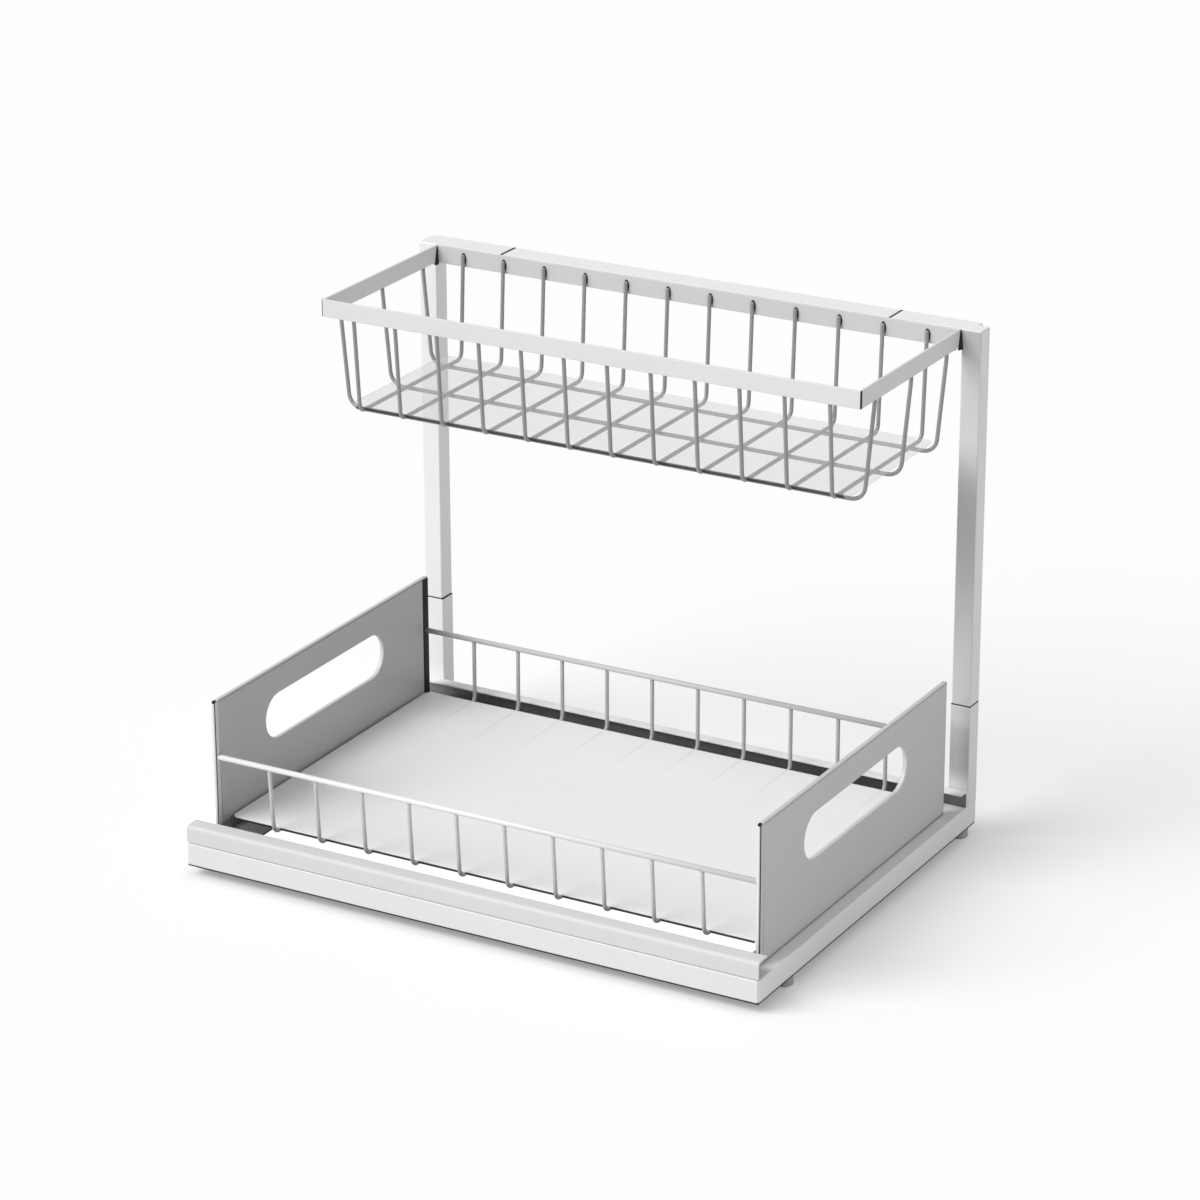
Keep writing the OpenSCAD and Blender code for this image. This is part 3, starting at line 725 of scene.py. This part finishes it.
low, high = size("crossbar_centre")
low.x += crossbar["seam"]
high.x -= crossbar["seam"]
centre = roundBox("crossbarCentre", low, high, crossbar["edge"], look["crossbarPaint"])
put(carve(centre, accessBores(low, high), crossbar["holeEdge"]), "frame", "frame_paint", "crossbar_centre")
postLow, postHigh = size("upper_post_right")
for sideName, sign in sides.items():
    low, high = size("crossbar_end_right")
    cut = crossbar["cornerCut"][sideName]
    if sign < 0:
        high.x = postHigh.x - crossbar["leftShort"]  # the left end reaches over the whole post
    outline = [(sign * low.x, low.y), (sign * postLow.x, low.y), (sign * postLow.x, postHigh.y),
               (sign * high.x, postHigh.y), (sign * high.x, high.y - cut), (sign * (high.x - cut), high.y),
               (sign * low.x, high.y)]
    arm = prism("crossbarEnd" + sideName, outline, "z", low.z, high.z - posts["topDrop"],
                look["crossbarPaint"])
    rounded(arm, crossbar["endEdge"][sideName])
    # a flat cap over the end piece and the post's top, so that no line shows between them
    inset = crossbar["skinInset"]
    startX, postX, outX = low.x + crossbar["skinStart"], postHigh.x - inset, high.x - inset
    nearY, postY, farY = low.y + inset, postHigh.y - inset, high.y - inset
    outline = [(sign * startX, nearY), (sign * postX, nearY), (sign * postX, postY), (sign * outX, postY),
               (sign * outX, farY - cut), (sign * (outX - cut), farY), (sign * startX, farY)]
    skin = prism("crossbarTop" + sideName, outline, "z", high.z - crossbar["skin"], high.z,
                 look["crossbarPaint"])
    put(rounded(skin, crossbar["skinEdge"], 2), "frame", "frame_paint")
    low, high = size("crossbar_end_" + sideName)
    put(carve(arm, accessBores(low, high), crossbar["holeEdge"]),
        "frame", "frame_paint", "crossbar_end_" + sideName)
    seamX, half, inset = sign * barHigh.x, crossbar["seamHalf"], crossbar["seamInset"]
    seam = boxMesh("crossbarSeam" + sideName, (seamX - half, barLow.y + inset, barLow.z + inset),
                   (seamX + half, barHigh.y - inset, barHigh.z - inset), look["seamAndPaintedShade"])
    put(seam, "frame", "dark_plastic")
print("stage: crossbar done")


# Basket rim: flat bars with crisp corners, dark seams at the front corners, a darker copy of the paint on the
# rear bar as painted shade, and painted cast shadows where the side bars meet the posts and the rear bar
rim = {"edge": 0.00045, "seam": 0.0005, "seamFrom": 0.0001, "seamTo": 0.0009, "seamTrim": 0.0002,
       "shadowSpan": 0.0045, "shadowGap": 0.0001, "shadowReach": 0.0015, "shadowProud": 0.0012, "shadowTop": 0.25,
       "shadowDrop": 0.0016, "shadowBelow": 0.0006}
# the rear bar takes a darker copy of the rim's paint: painted shade
rimLooks = {"front": "rimPaint", "left": "rimPaint", "right": "rimPaint", "rear": "rearBarShade"}
for barName, lookName in rimLooks.items():
    node = "basket_" + barName + "_bar"
    low, high = size(node)
    if barName == "front":
        low.x += rim["seam"]
        high.x -= rim["seam"]
    put(roundBox("rim" + barName, low, high, rim["edge"], look[lookName]),
        "frame", "frame_paint", node)
frontLow, frontHigh = size("basket_front_bar")
for sideName, sign in sides.items():
    low, high = size("basket_" + sideName + "_bar")
    outer, inner = sign * max(abs(low.x), abs(high.x)), sign * min(abs(low.x), abs(high.x))
    a, b = sorted((outer - sign * rim["seamFrom"], outer - sign * rim["seamTo"]))
    seam = boxMesh("rimSeam" + sideName, (a, frontLow.y + rim["seamFrom"], low.z + rim["seamTrim"]),
                   (b, frontHigh.y + rim["seamFrom"], high.z - rim["seamTrim"]), look["seamAndPaintedShade"])
    put(seam, "frame", "dark_plastic")
    # each painted cast shadow starts at the bar, ends at the post or the rear bar, and is widest at its foot
    for tag, barX, farX, backY in (("Outer", outer, sign * (postLow.x + rim["shadowReach"]), postLow.y),
                                   ("Inner", inner, inner - sign * rim["shadowProud"], high.y)):
        frontY, backY = backY - rim["shadowSpan"], backY - rim["shadowGap"]
        wedge = prism("rimCastShadow" + tag + sideName, [(barX, frontY), (farX, backY), (barX, backY)], "z",
                      low.z - rim["shadowDrop"], high.z - rim["shadowBelow"], look["seamAndPaintedShade"])
        for vert in wedge.data.vertices:
            if vert.co.z > low.z:
                vert.co.x = barX + (vert.co.x - barX) * rim["shadowTop"]
                vert.co.y = backY + (vert.co.y - backY) * rim["shadowTop"]
        put(wedge, "frame", "dark_plastic")
print("stage: rim done")


# Basket wires: smooth bent wires with weld beads; the long ones stand under the side bars
wires = {"radius": 0.0015, "crossCount": 12, "crossBend": 0.0065, "longBend": 0.011, "kinkBend": 0.03,
         "kinkDrop": 0.001, "frontLean": 0.0055, "rearLean": 0.004, "sideLean": 0.0065, "sideStub": 0.003,
         "bead": (0.0021, 0.0012, 0.0013), "beadIn": 0.6, "beadRise": 0.0016, "beadDrop": 0.0022,
         "loop": (0.0023, 0.0006, 0.0052), "topShadeIn": 0.0003, "topShadeDrop": 0.0040}


def spread(low, high, count):
    # places of count wires whose outer sides lie at low and high
    first, last = low + wires["radius"], high - wires["radius"]
    return [first + (last - first) * i / (count - 1) for i in range(count)]


low, high = size("basket_cross_wires")
rimLow, rimHigh = size("basket_front_bar")
rearLow, rearHigh = size("basket_rear_bar")
floorZ = low.z + wires["radius"]
topZ = high.z
frontY, rearY = low.y + wires["radius"], high.y - wires["radius"]
crossXs = spread(low.x, high.x, wires["crossCount"])
kink = wires["kinkBend"]
paths = []
for x in crossXs:
    corners = [(x, frontY, topZ), (x, frontY, rimLow.z - wires["kinkDrop"]),
               (x, frontY + wires["frontLean"], floorZ), (x, rearY - wires["rearLean"], floorZ),
               (x, rearY, rearLow.z - wires["kinkDrop"]), (x, rearY, topZ)]
    paths.append(wirePoints(corners, [0, kink, wires["crossBend"], wires["crossBend"], kink, 0]))
put(tubeMesh("basketCrossWires", paths, wires["radius"], look["wirePaint"]),
    "frame", "wire_paint", "basket_cross_wires")
low, high = size("basket_long_wires")
longZ = low.z + wires["radius"]
sideX = high.x - wires["radius"]
stubZ = high.z - wires["sideStub"]
paths = []
for y in spread(low.y, high.y, 3):
    corners = [(-sideX, y, high.z), (-sideX, y, stubZ), (-sideX + wires["sideLean"], y, longZ),
               (sideX - wires["sideLean"], y, longZ), (sideX, y, stubZ), (sideX, y, high.z)]
    paths.append(wirePoints(corners, [0, kink, wires["longBend"], wires["longBend"], kink, 0]))
put(tubeMesh("basketLongWires", paths, wires["radius"], look["wirePaint"], domes=False),
    "frame", "wire_paint", "basket_long_wires")
# a dark blob behind each cross wire's top against the rear bar: painted shade
topShadeY = rearY + wires["radius"] - wires["topShadeIn"]
put(blobMesh("basketTopShades", [(x, topShadeY, topZ - wires["topShadeDrop"]) for x in crossXs], wires["loop"],
             look["seamAndPaintedShade"]), "frame", "dark_plastic")
beadIn = wires["radius"] * wires["beadIn"]
centres = [(x, y, z) for y, z in ((frontY - beadIn, rimLow.z + wires["beadRise"]),
                                  (rearY + beadIn, rearLow.z + wires["beadRise"]),
                                  (frontY - beadIn, topZ - wires["beadDrop"])) for x in crossXs]
put(blobMesh("basketBeads", centres, wires["bead"], look["wirePaint"]), "frame", "wire_paint")
print("stage: basket wires done")


# Basket liner: thin frosted sheet with round corners and a painted shade line along its front edge
liner = {"corner": 0.006, "edge": 0.00035, "shadeLine": 0.0017, "lipFrom": 0.0001, "lipTo": 0.0008,
         "lipBelow": 0.0002, "lipEdge": 0.0002}
low, high = size("basket_liner")
outline = roundRect(low.x, low.y, high.x, high.y, liner["corner"])
basketLiner = plate("basketLiner", outline, [], high.z - low.z, liner["edge"],
                    lambda u, v, w: (u, v, low.z + w), look["linerPlastic"])
put(basketLiner, "frame", "clear_liner", "basket_liner")
shadeLine = roundBox("linerShadeLine", (low.x + liner["corner"], low.y + liner["lipFrom"], low.z - liner["shadeLine"]),
               (high.x - liner["corner"], low.y + liner["lipTo"], high.z - liner["lipBelow"]),
               liner["lipEdge"], look["paintedEdgeShade"], 2)
put(shadeLine, "frame", "clear_liner")
print("stage: basket liner done")


# Drawer side panels: sheet with a hand slot, its inner faces in a darker copy of the paint as painted shade;
# its front hem is a bright bead in a lighter tone as a painted highlight, a dark line of painted shade and a
# thin lip
panels = {"edge": 0.0012, "corner": 0.0008, "innerFacing": 0.5, "slotLength": 0.1595, "slotHeight": 0.0342,
          "slotLift": 0.064, "hemDepth": 0.0032, "hemSplit": 0.0026, "hemGap": 0.0011, "hemLap": 0.0003,
          "beadEdge": 0.0009, "lipIn": 0.0002, "lipDrop": 0.0004, "lipEdge": 0.0001, "lineLap": 0.0001,
          "lineIn": 0.0007, "lineBack": 0.0002, "lineRise": 0.0003, "lineDrop": 0.0006, "lineEdge": 0.00005,
          "capSide": 0.0004, "capIn": 0.0005, "capHeight": 0.0019, "capLap": 0.0008, "capDrop": 0.0001,
          "capEdge": 0.0005, "underIn": (0.0006, 0.0003), "underEnds": 0.0004, "underLine": 0.0003,
          "underRise": 0.0012, "rearShade": 0.0080, "rearOut": 0.0001, "rearDeep": 0.0008, "rearRise": 0.0006,
          "rearDrop": 0.0012}
for sideName, sign in sides.items():
    low, high = size("side_panel_" + sideName)
    thick = high.x - low.x
    middleY = (low.y + high.y) / 2
    slotZ = low.z + panels["slotLift"]
    half = panels["slotHeight"] / 2
    reach = panels["slotLength"] / 2 - half
    outline = roundRect(low.y + panels["hemDepth"], low.z, high.y, high.z, panels["corner"], 3)
    hole = (arcPoints(middleY + reach, slotZ, half, -90, 90, 16)
            + arcPoints(middleY - reach, slotZ, half, 90, 270, 16))
    sheet = plate("sidePanel" + sideName, outline, [hole], thick, panels["edge"],
                  lambda u, v, w, x0=low.x: (x0 + w, u, v), look["panelPaint"])
    # faces on the panel's inner side get a darker copy of the paint: painted shade
    sheet.data.materials.append(look["panelInnerShade"])
    for poly in sheet.data.polygons:
        if poly.normal.x * sign < -panels["innerFacing"]:
            poly.material_index = 1
    put(sheet, "drawer", "panel_paint", "side_panel_" + sideName)
    splitX, hemY = low.x + panels["hemSplit"], low.y + panels["hemDepth"]
    beadHigh = (splitX, hemY + panels["hemLap"], high.z - panels["capHeight"])
    # the bead's lighter tone is a painted highlight
    put(roundBox("hemBead" + sideName, low, beadHigh, panels["beadEdge"], look["hemHighlight"]),
        "drawer", "panel_paint")
    lipX = high.x - (thick - panels["hemSplit"] - panels["hemGap"])
    lipLow = (lipX, low.y + panels["lipIn"], low.z)
    lipHigh = (high.x, hemY + panels["hemLap"], high.z - panels["lipDrop"])
    put(roundBox("hemLip" + sideName, lipLow, lipHigh, panels["lipEdge"], look["panelPaint"]),
        "drawer", "panel_paint")
    # a dark line in the hem's groove: painted shade
    lineLow = (splitX - panels["lineLap"], low.y + panels["lineIn"], low.z + panels["lineRise"])
    lineHigh = (lipX + panels["lineLap"], hemY + panels["lineBack"], high.z - panels["lineDrop"])
    put(roundBox("hemGrooveShade" + sideName, lineLow, lineHigh, panels["lineEdge"], look["seamAndPaintedShade"], 1),
        "drawer", "dark_plastic")
    # a dark cap over the hem's top: painted shade
    capLow = (low.x + panels["capSide"], low.y + panels["capIn"],
              high.z - panels["capHeight"] - panels["capLap"])
    capHigh = (splitX, hemY + panels["lineBack"], high.z - panels["capDrop"])
    put(roundBox("hemTopShade" + sideName, capLow, capHigh, panels["capEdge"], look["seamAndPaintedShade"], 2),
        "drawer", "dark_plastic")
    # painted shadow lines below the panel and at its rear end
    underLow = (low.x + panels["underIn"][0], low.y + panels["underEnds"], low.z - panels["underLine"])
    underHigh = (high.x - panels["underIn"][1], high.y - panels["underEnds"], low.z + panels["underRise"])
    put(boxMesh("panelUnderShadow" + sideName, underLow, underHigh, look["wirePaint"]), "drawer", "dark_plastic")
    innerX = low.x if sign > 0 else high.x
    a, b = sorted((innerX - sign * panels["rearOut"], innerX + sign * panels["rearDeep"]))
    rearShade = boxMesh("panelRearShade" + sideName, (a, high.y - panels["rearShade"], low.z + panels["rearRise"]),
                       (b, high.y - panels["rearOut"], high.z - panels["rearDrop"]), look["seamAndPaintedShade"])
    put(rearShade, "drawer", "dark_plastic")
print("stage: panels done")


# Strips: folded sheet with a soft bend along the top; a dark sheet inside is painted shade, and the front and
# rear strips take a darker and a lighter copy of one paint as painted light and shade
strips = {"sheet": 0.0012, "bend": 0.003, "bendSteps": 8, "edge": 0.0003, "edgeAngle": 40,
          "insideDeep": 0.0003, "insideOut": 0.0002, "insideEnds": 0.0006, "insideRise": 0.0002}


def stripOutline(depth, bottom, top):
    sheet, bend, steps = strips["sheet"], strips["bend"], strips["bendSteps"]
    outer = [(0, bottom), (0, top - bend)]
    outer += arcPoints(bend, top - bend, bend, 180, 90, steps)[1:]
    outer += [(depth, top), (depth, top - sheet)]
    inner = arcPoints(bend, top - bend, bend - sheet, 90, 180, steps)
    return outer + inner + [(sheet, bottom)]


for stripName, node, body, facing, lookName in (("frontStrip", "front_strip", "drawer", 1, "stripPaint"),
                                                ("rearStrip", "rear_strip", "frame", -1, "rearStripPaint")):
    low, high = size(node)
    front = low.y if facing > 0 else high.y
    outline = [(front + facing * u, v) for u, v in stripOutline(high.y - low.y, low.z, high.z)]
    strip = prism(stripName, outline, "x", low.x, high.x, look[lookName])
    put(rounded(strip, strips["edge"], 2, strips["edgeAngle"]), body, "frame_paint", node)
    legY = front + facing * strips["sheet"]
    a, b = sorted((legY - facing * strips["insideDeep"], legY + facing * strips["insideOut"]))
    insideShade = boxMesh(stripName + "Inside", (low.x + strips["insideEnds"], a, low.z + strips["insideRise"]),
                     (high.x - strips["insideEnds"], b, high.z - strips["bend"]), look["paintedDeepShade"])
    put(insideShade, body, "dark_plastic")
print("stage: strips done")


# Drawer rails and wires
drawerWires = {"railRadius": 0.002, "railSides": 18, "count": 10, "bend": 0.0065, "lean": 0.0034,
               "kinkDrop": 0.005}


def straight(low, high, y, z):
    return [Vector((low.x, y, z)), Vector((0, y, z)), Vector((high.x, y, z))]


# the rear rail takes a darker copy of the front rail's paint: painted shade
for railName in ("front", "rear"):
    low, high = size("drawer_" + railName + "_rail")
    path = straight(low, high, (low.y + high.y) / 2, (low.z + high.z) / 2)
    rail = tubeMesh("drawerRail" + railName, [path], drawerWires["railRadius"], look[railName + "RailPaint"],
                    drawerWires["railSides"], False)
    put(rail, "drawer", "wire_paint", "drawer_" + railName + "_rail")
low, high = size("drawer_cross_wires")
floorZ = low.z + wires["radius"]
frontY, rearY = low.y + wires["radius"], high.y - wires["radius"]
paths = []
for x in spread(low.x, high.x, drawerWires["count"]):
    corners = [(x, frontY, high.z), (x, frontY, high.z - drawerWires["kinkDrop"]),
               (x, frontY + drawerWires["lean"], floorZ), (x, rearY, floorZ), (x, rearY, high.z)]
    paths.append(wirePoints(corners, [0, kink, drawerWires["bend"], drawerWires["bend"], 0]))
put(tubeMesh("drawerCrossWires", paths, wires["radius"], look["drawerWirePaint"], domes=False),
    "drawer", "wire_paint", "drawer_cross_wires")
low, high = size("drawer_long_wires")
paths = [straight(low, high, y, (low.z + high.z) / 2) for y in spread(low.y, high.y, 3)]
put(tubeMesh("drawerLongWires", paths, wires["radius"], look["drawerWirePaint"]),
    "drawer", "wire_paint", "drawer_long_wires")
print("stage: drawer wires done")


# Drawer liner: a stiffer grey sheet with a painted shade line at its front edge
tray = {"corner": 0.005, "edge": 0.0004, "shadeLine": 0.0016, "lipFrom": 0.0002, "lipTo": 0.0009, "lipRise": 0.0001,
        "lipEdge": 0.0002}
low, high = size("drawer_liner")
outline = roundRect(low.x, low.y, high.x, high.y, tray["corner"])
drawerLiner = plate("drawerLiner", outline, [], high.z - low.z, tray["edge"],
                    lambda u, v, w: (u, v, low.z + w), look["trayPlastic"])
put(drawerLiner, "drawer", "grey_liner", "drawer_liner")
shadeLine = roundBox("trayShadeLine", (low.x + tray["corner"], low.y + tray["lipFrom"], low.z - tray["shadeLine"]),
               (high.x - tray["corner"], low.y + tray["lipTo"], low.z + tray["lipRise"]),
               tray["lipEdge"], look["paintedEdgeShade"], 2)
put(shadeLine, "drawer", "grey_liner")
print("stage: drawer liner done")


# Slides: folded zinc channels and an inner bar with its fixing plate
slides = {"sheet": 0.001, "edge": 0.0003, "plate": 0.0012, "innerHalf": 0.002, "innerEdge": 0.0002}
t = slides["sheet"]
for sideName, sign in sides.items():
    for member, body in (("outer", "frame"), ("middle", "slide_" + sideName)):
        node = "slide_" + member + "_" + sideName
        low, high = size("slide_" + member + "_right")
        outline = [(low.x, low.z), (high.x, low.z), (high.x, low.z + t), (low.x + t, low.z + t),
                   (low.x + t, high.z - t), (high.x, high.z - t), (high.x, high.z), (low.x, high.z)]
        channel = prism(node + "Look", [(sign * u, v) for u, v in outline], "y", low.y, high.y,
                        look["zincSteel"])
        put(rounded(channel, slides["edge"], 2), body, "zinc_steel", node)
    node = "slide_inner_" + sideName
    low, high = size("slide_inner_right")
    back, half, middle = high.x - slides["plate"], slides["innerHalf"], (low.z + high.z) / 2
    outline = [(low.x, middle - half), (back, middle - half), (back, low.z), (high.x, low.z),
               (high.x, high.z), (back, high.z), (back, middle + half), (low.x, middle + half)]
    member = prism(node + "Look", [(sign * u, v) for u, v in outline], "y", low.y, high.y, look["zincSteel"])
    put(rounded(member, slides["innerEdge"], 2), "drawer", "zinc_steel", node)
print("stage: slides done")


# Brackets and screws: folded sheet with soft edges, round heads with a cross recess
fixings = {"sheet": 0.0012, "reach": 0.0058, "drop": 0.014, "edge": 0.0003, "endIn": 0.038,
           "cornerReach": 0.014, "headRadius": 0.0035, "headHeight": 0.0015, "basketHead": 0.0024,
           "shankRadius": 0.002, "shankShort": 0.0001}
low, high = size("slide_brackets")
slideLow, slideHigh = size("slide_outer_right")
middles = (slideLow.y + fixings["endIn"], slideHigh.y - fixings["endIn"])
half = middles[0] - low.y
topZ = low.z + fixings["drop"]
t = fixings["sheet"]
edgeX = high.x - fixings["reach"]
outline = [(high.x, low.z), (high.x, topZ), (edgeX + t, topZ), (edgeX + t, high.z), (edgeX, high.z),
           (edgeX, topZ - t), (high.x - t, topZ - t), (high.x - t, low.z)]
parts = []
for sign in (-1, 1):
    for y in middles:
        folded = prism("slideBracket", [(sign * u, v) for u, v in outline], "y", y - half, y + half,
                       look["zincSteel"])
        parts.append(rounded(folded, fixings["edge"], 2))
put(joined("slideBrackets", parts), "frame", "zinc_steel", "slide_brackets")
# the corner brackets take the dark tone of painted shade
low, high = size("corner_brackets")
farX = high.x - fixings["cornerReach"]
outline = [(high.x, low.y), (high.x, high.y), (high.x - t, high.y), (high.x - t, low.y + t),
           (farX, low.y + t), (farX, low.y)]
parts = []
for sign in (-1, 1):
    folded = prism("cornerBracket", [(sign * u, v) for u, v in outline], "z", low.z, high.z,
                   look["paintedDeepShade"])
    parts.append(rounded(folded, fixings["edge"], 2))
put(joined("cornerBrackets", parts), "drawer", "frame_paint", "corner_brackets")
low, high = size("bracket_screws")
centreZ = (low.z + high.z) / 2
screwOut = middles[0] - (low.y + fixings["headRadius"])
headX = size("slide_brackets")[1].x - t
places = [aim((sign * headX, y + side * screwOut, centreZ), (-sign, 0, 0))
          for sign in (-1, 1) for y in middles for side in (-1, 1)]
put(screwMesh("bracketScrews", places, fixings["headRadius"], fixings["headHeight"], fixings["shankRadius"],
              high.x - headX - fixings["shankShort"], look["zincSteel"]),
    "frame", "zinc_steel", "bracket_screws")
headY = screwHigh.y - fixings["basketHead"]
places = [aim((x, headY, screwZ), (0, 1, 0)) for x in screwXs]
put(screwMesh("basketScrews", places, fixings["headRadius"], fixings["basketHead"], fixings["shankRadius"],
              headY - screwLow.y, look["zincSteel"]), "frame", "zinc_steel", "basket_screws")
print("stage: fixings done")


# Plugs inside the tubes stay as they are, with their own look
for node in ("post_spigots", "crossbar_joiners"):
    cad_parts[node].data.materials.clear()
    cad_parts[node].data.materials.append(look["plugPlastic"])
print("stage: plugs done")


# Floor, light, camera; the floor's painted glow under the drawer's front gap is given by its middle and its
# half width
backdrop = {"half": 14, "low": (0.75, 0.75, 0.75), "high": (0.76, 0.76, 0.76), "scale": 3, "rough": 0.9,
            "lift": 0.25, "gapX": (-0.045, 0.27), "gapY": (-0.070, 0.072), "gapSoft": 0.05}


def floorMaterial():
    # pale paper; seen from the camera it is a little lighter, and under the drawer's front gap a painted glow
    # turns its shade white
    material, nodes, links, shader = newMaterial("floorPaper")
    addTone(nodes, links, shader, backdrop["low"], backdrop["high"], backdrop["scale"])
    shader.inputs["Roughness"].default_value = backdrop["rough"]
    shader.inputs["Specular IOR Level"].default_value = 0
    place = nodes.new("ShaderNodeTexCoord")
    split = nodes.new("ShaderNodeSeparateXYZ")
    links.new(place.outputs["Object"], split.inputs[0])
    masks = []
    for axis, (middle, half) in (("X", backdrop["gapX"]), ("Y", backdrop["gapY"])):
        away = nodes.new("ShaderNodeMath")
        away.operation = "SUBTRACT"
        away.inputs[1].default_value = middle
        distance = nodes.new("ShaderNodeMath")
        distance.operation = "ABSOLUTE"
        edge = nodes.new("ShaderNodeMapRange")
        edge.interpolation_type = "SMOOTHSTEP"
        edge.inputs["From Min"].default_value = half - backdrop["gapSoft"]
        edge.inputs["From Max"].default_value = half
        edge.inputs["To Min"].default_value = 1
        edge.inputs["To Max"].default_value = 0
        links.new(split.outputs[axis], away.inputs[0])
        links.new(away.outputs[0], distance.inputs[0])
        links.new(distance.outputs[0], edge.inputs["Value"])
        masks.append(edge)
    both = nodes.new("ShaderNodeMath")
    both.operation = "MULTIPLY"
    links.new(masks[0].outputs["Result"], both.inputs[0])
    links.new(masks[1].outputs["Result"], both.inputs[1])
    rays = nodes.new("ShaderNodeLightPath")
    seen = nodes.new("ShaderNodeMath")
    seen.operation = "MULTIPLY"
    links.new(both.outputs[0], seen.inputs[0])
    links.new(rays.outputs["Is Camera Ray"], seen.inputs[1])
    strength = nodes.new("ShaderNodeMapRange")
    strength.inputs["To Min"].default_value = backdrop["lift"]
    strength.inputs["To Max"].default_value = 1
    links.new(seen.outputs[0], strength.inputs["Value"])
    ownRay = nodes.new("ShaderNodeMath")
    ownRay.operation = "MULTIPLY"
    links.new(strength.outputs["Result"], ownRay.inputs[0])
    links.new(rays.outputs["Is Camera Ray"], ownRay.inputs[1])
    glow = nodes.new("ShaderNodeEmission")
    links.new(ownRay.outputs[0], glow.inputs["Strength"])
    add = nodes.new("ShaderNodeAddShader")
    output = nodes["Material Output"]
    links.new(shader.outputs[0], add.inputs[0])
    links.new(glow.outputs[0], add.inputs[1])
    links.new(add.outputs[0], output.inputs["Surface"])
    return material


half = backdrop["half"]
floor = makeObject("floor", [(-half, -half, 0), (half, -half, 0), (half, half, 0), (-half, half, 0)],
                   [(0, 1, 2, 3)], floorMaterial())

light = {"sky": 0.50, "sun": 2.2, "sunAngle": 42, "towards": (-0.48, -0.58, 0.70)}
world = bpy.data.worlds.new("softRoom")
bpy.context.scene.world = world
world.use_nodes = True
background = world.node_tree.nodes["Background"]
background.inputs["Color"].default_value = (1, 1, 1, 1)
background.inputs["Strength"].default_value = light["sky"]
worldNodes, worldLinks = world.node_tree.nodes, world.node_tree.links
whiteSky = worldNodes.new("ShaderNodeBackground")
skyPath = worldNodes.new("ShaderNodeLightPath")
skyMix = worldNodes.new("ShaderNodeMixShader")
worldLinks.new(skyPath.outputs["Is Camera Ray"], skyMix.inputs[0])
worldLinks.new(background.outputs[0], skyMix.inputs[1])
worldLinks.new(whiteSky.outputs[0], skyMix.inputs[2])
worldLinks.new(skyMix.outputs[0], worldNodes["World Output"].inputs["Surface"])
whiteSky.inputs["Color"].default_value = (1, 1, 1, 1)
sunData = bpy.data.lights.new("key", "SUN")
sunData.energy = light["sun"]
sunData.angle = math.radians(light["sunAngle"])
sun = bpy.data.objects.new("key", sunData)
bpy.context.scene.collection.objects.link(sun)
sun.rotation_mode = "QUATERNION"
sun.rotation_quaternion = Vector(light["towards"]).to_track_quat("Z", "Y")

camera = {"place": (1.43707, -2.51250, 1.31717), "forward": (-0.46026, 0.81086, -0.36146),
          "roll": -0.19, "lens": 131.63, "sensor": 36, "reach": 60}
cameraData = bpy.data.cameras.new("camera")
cameraData.lens = camera["lens"]
cameraData.sensor_width = camera["sensor"]
cameraData.clip_end = camera["reach"]
cameraObject = bpy.data.objects.new("camera", cameraData)
bpy.context.scene.collection.objects.link(cameraObject)
cameraObject.location = camera["place"]
cameraObject.rotation_mode = "QUATERNION"
cameraObject.rotation_quaternion = (Vector(camera["forward"]).to_track_quat("-Z", "Y")
                                    @ Matrix.Rotation(math.radians(camera["roll"]), 3, "Z").to_quaternion())
bpy.context.scene.camera = cameraObject
bpy.context.scene.view_settings.view_transform = "Standard"
print("stage: light and camera done")
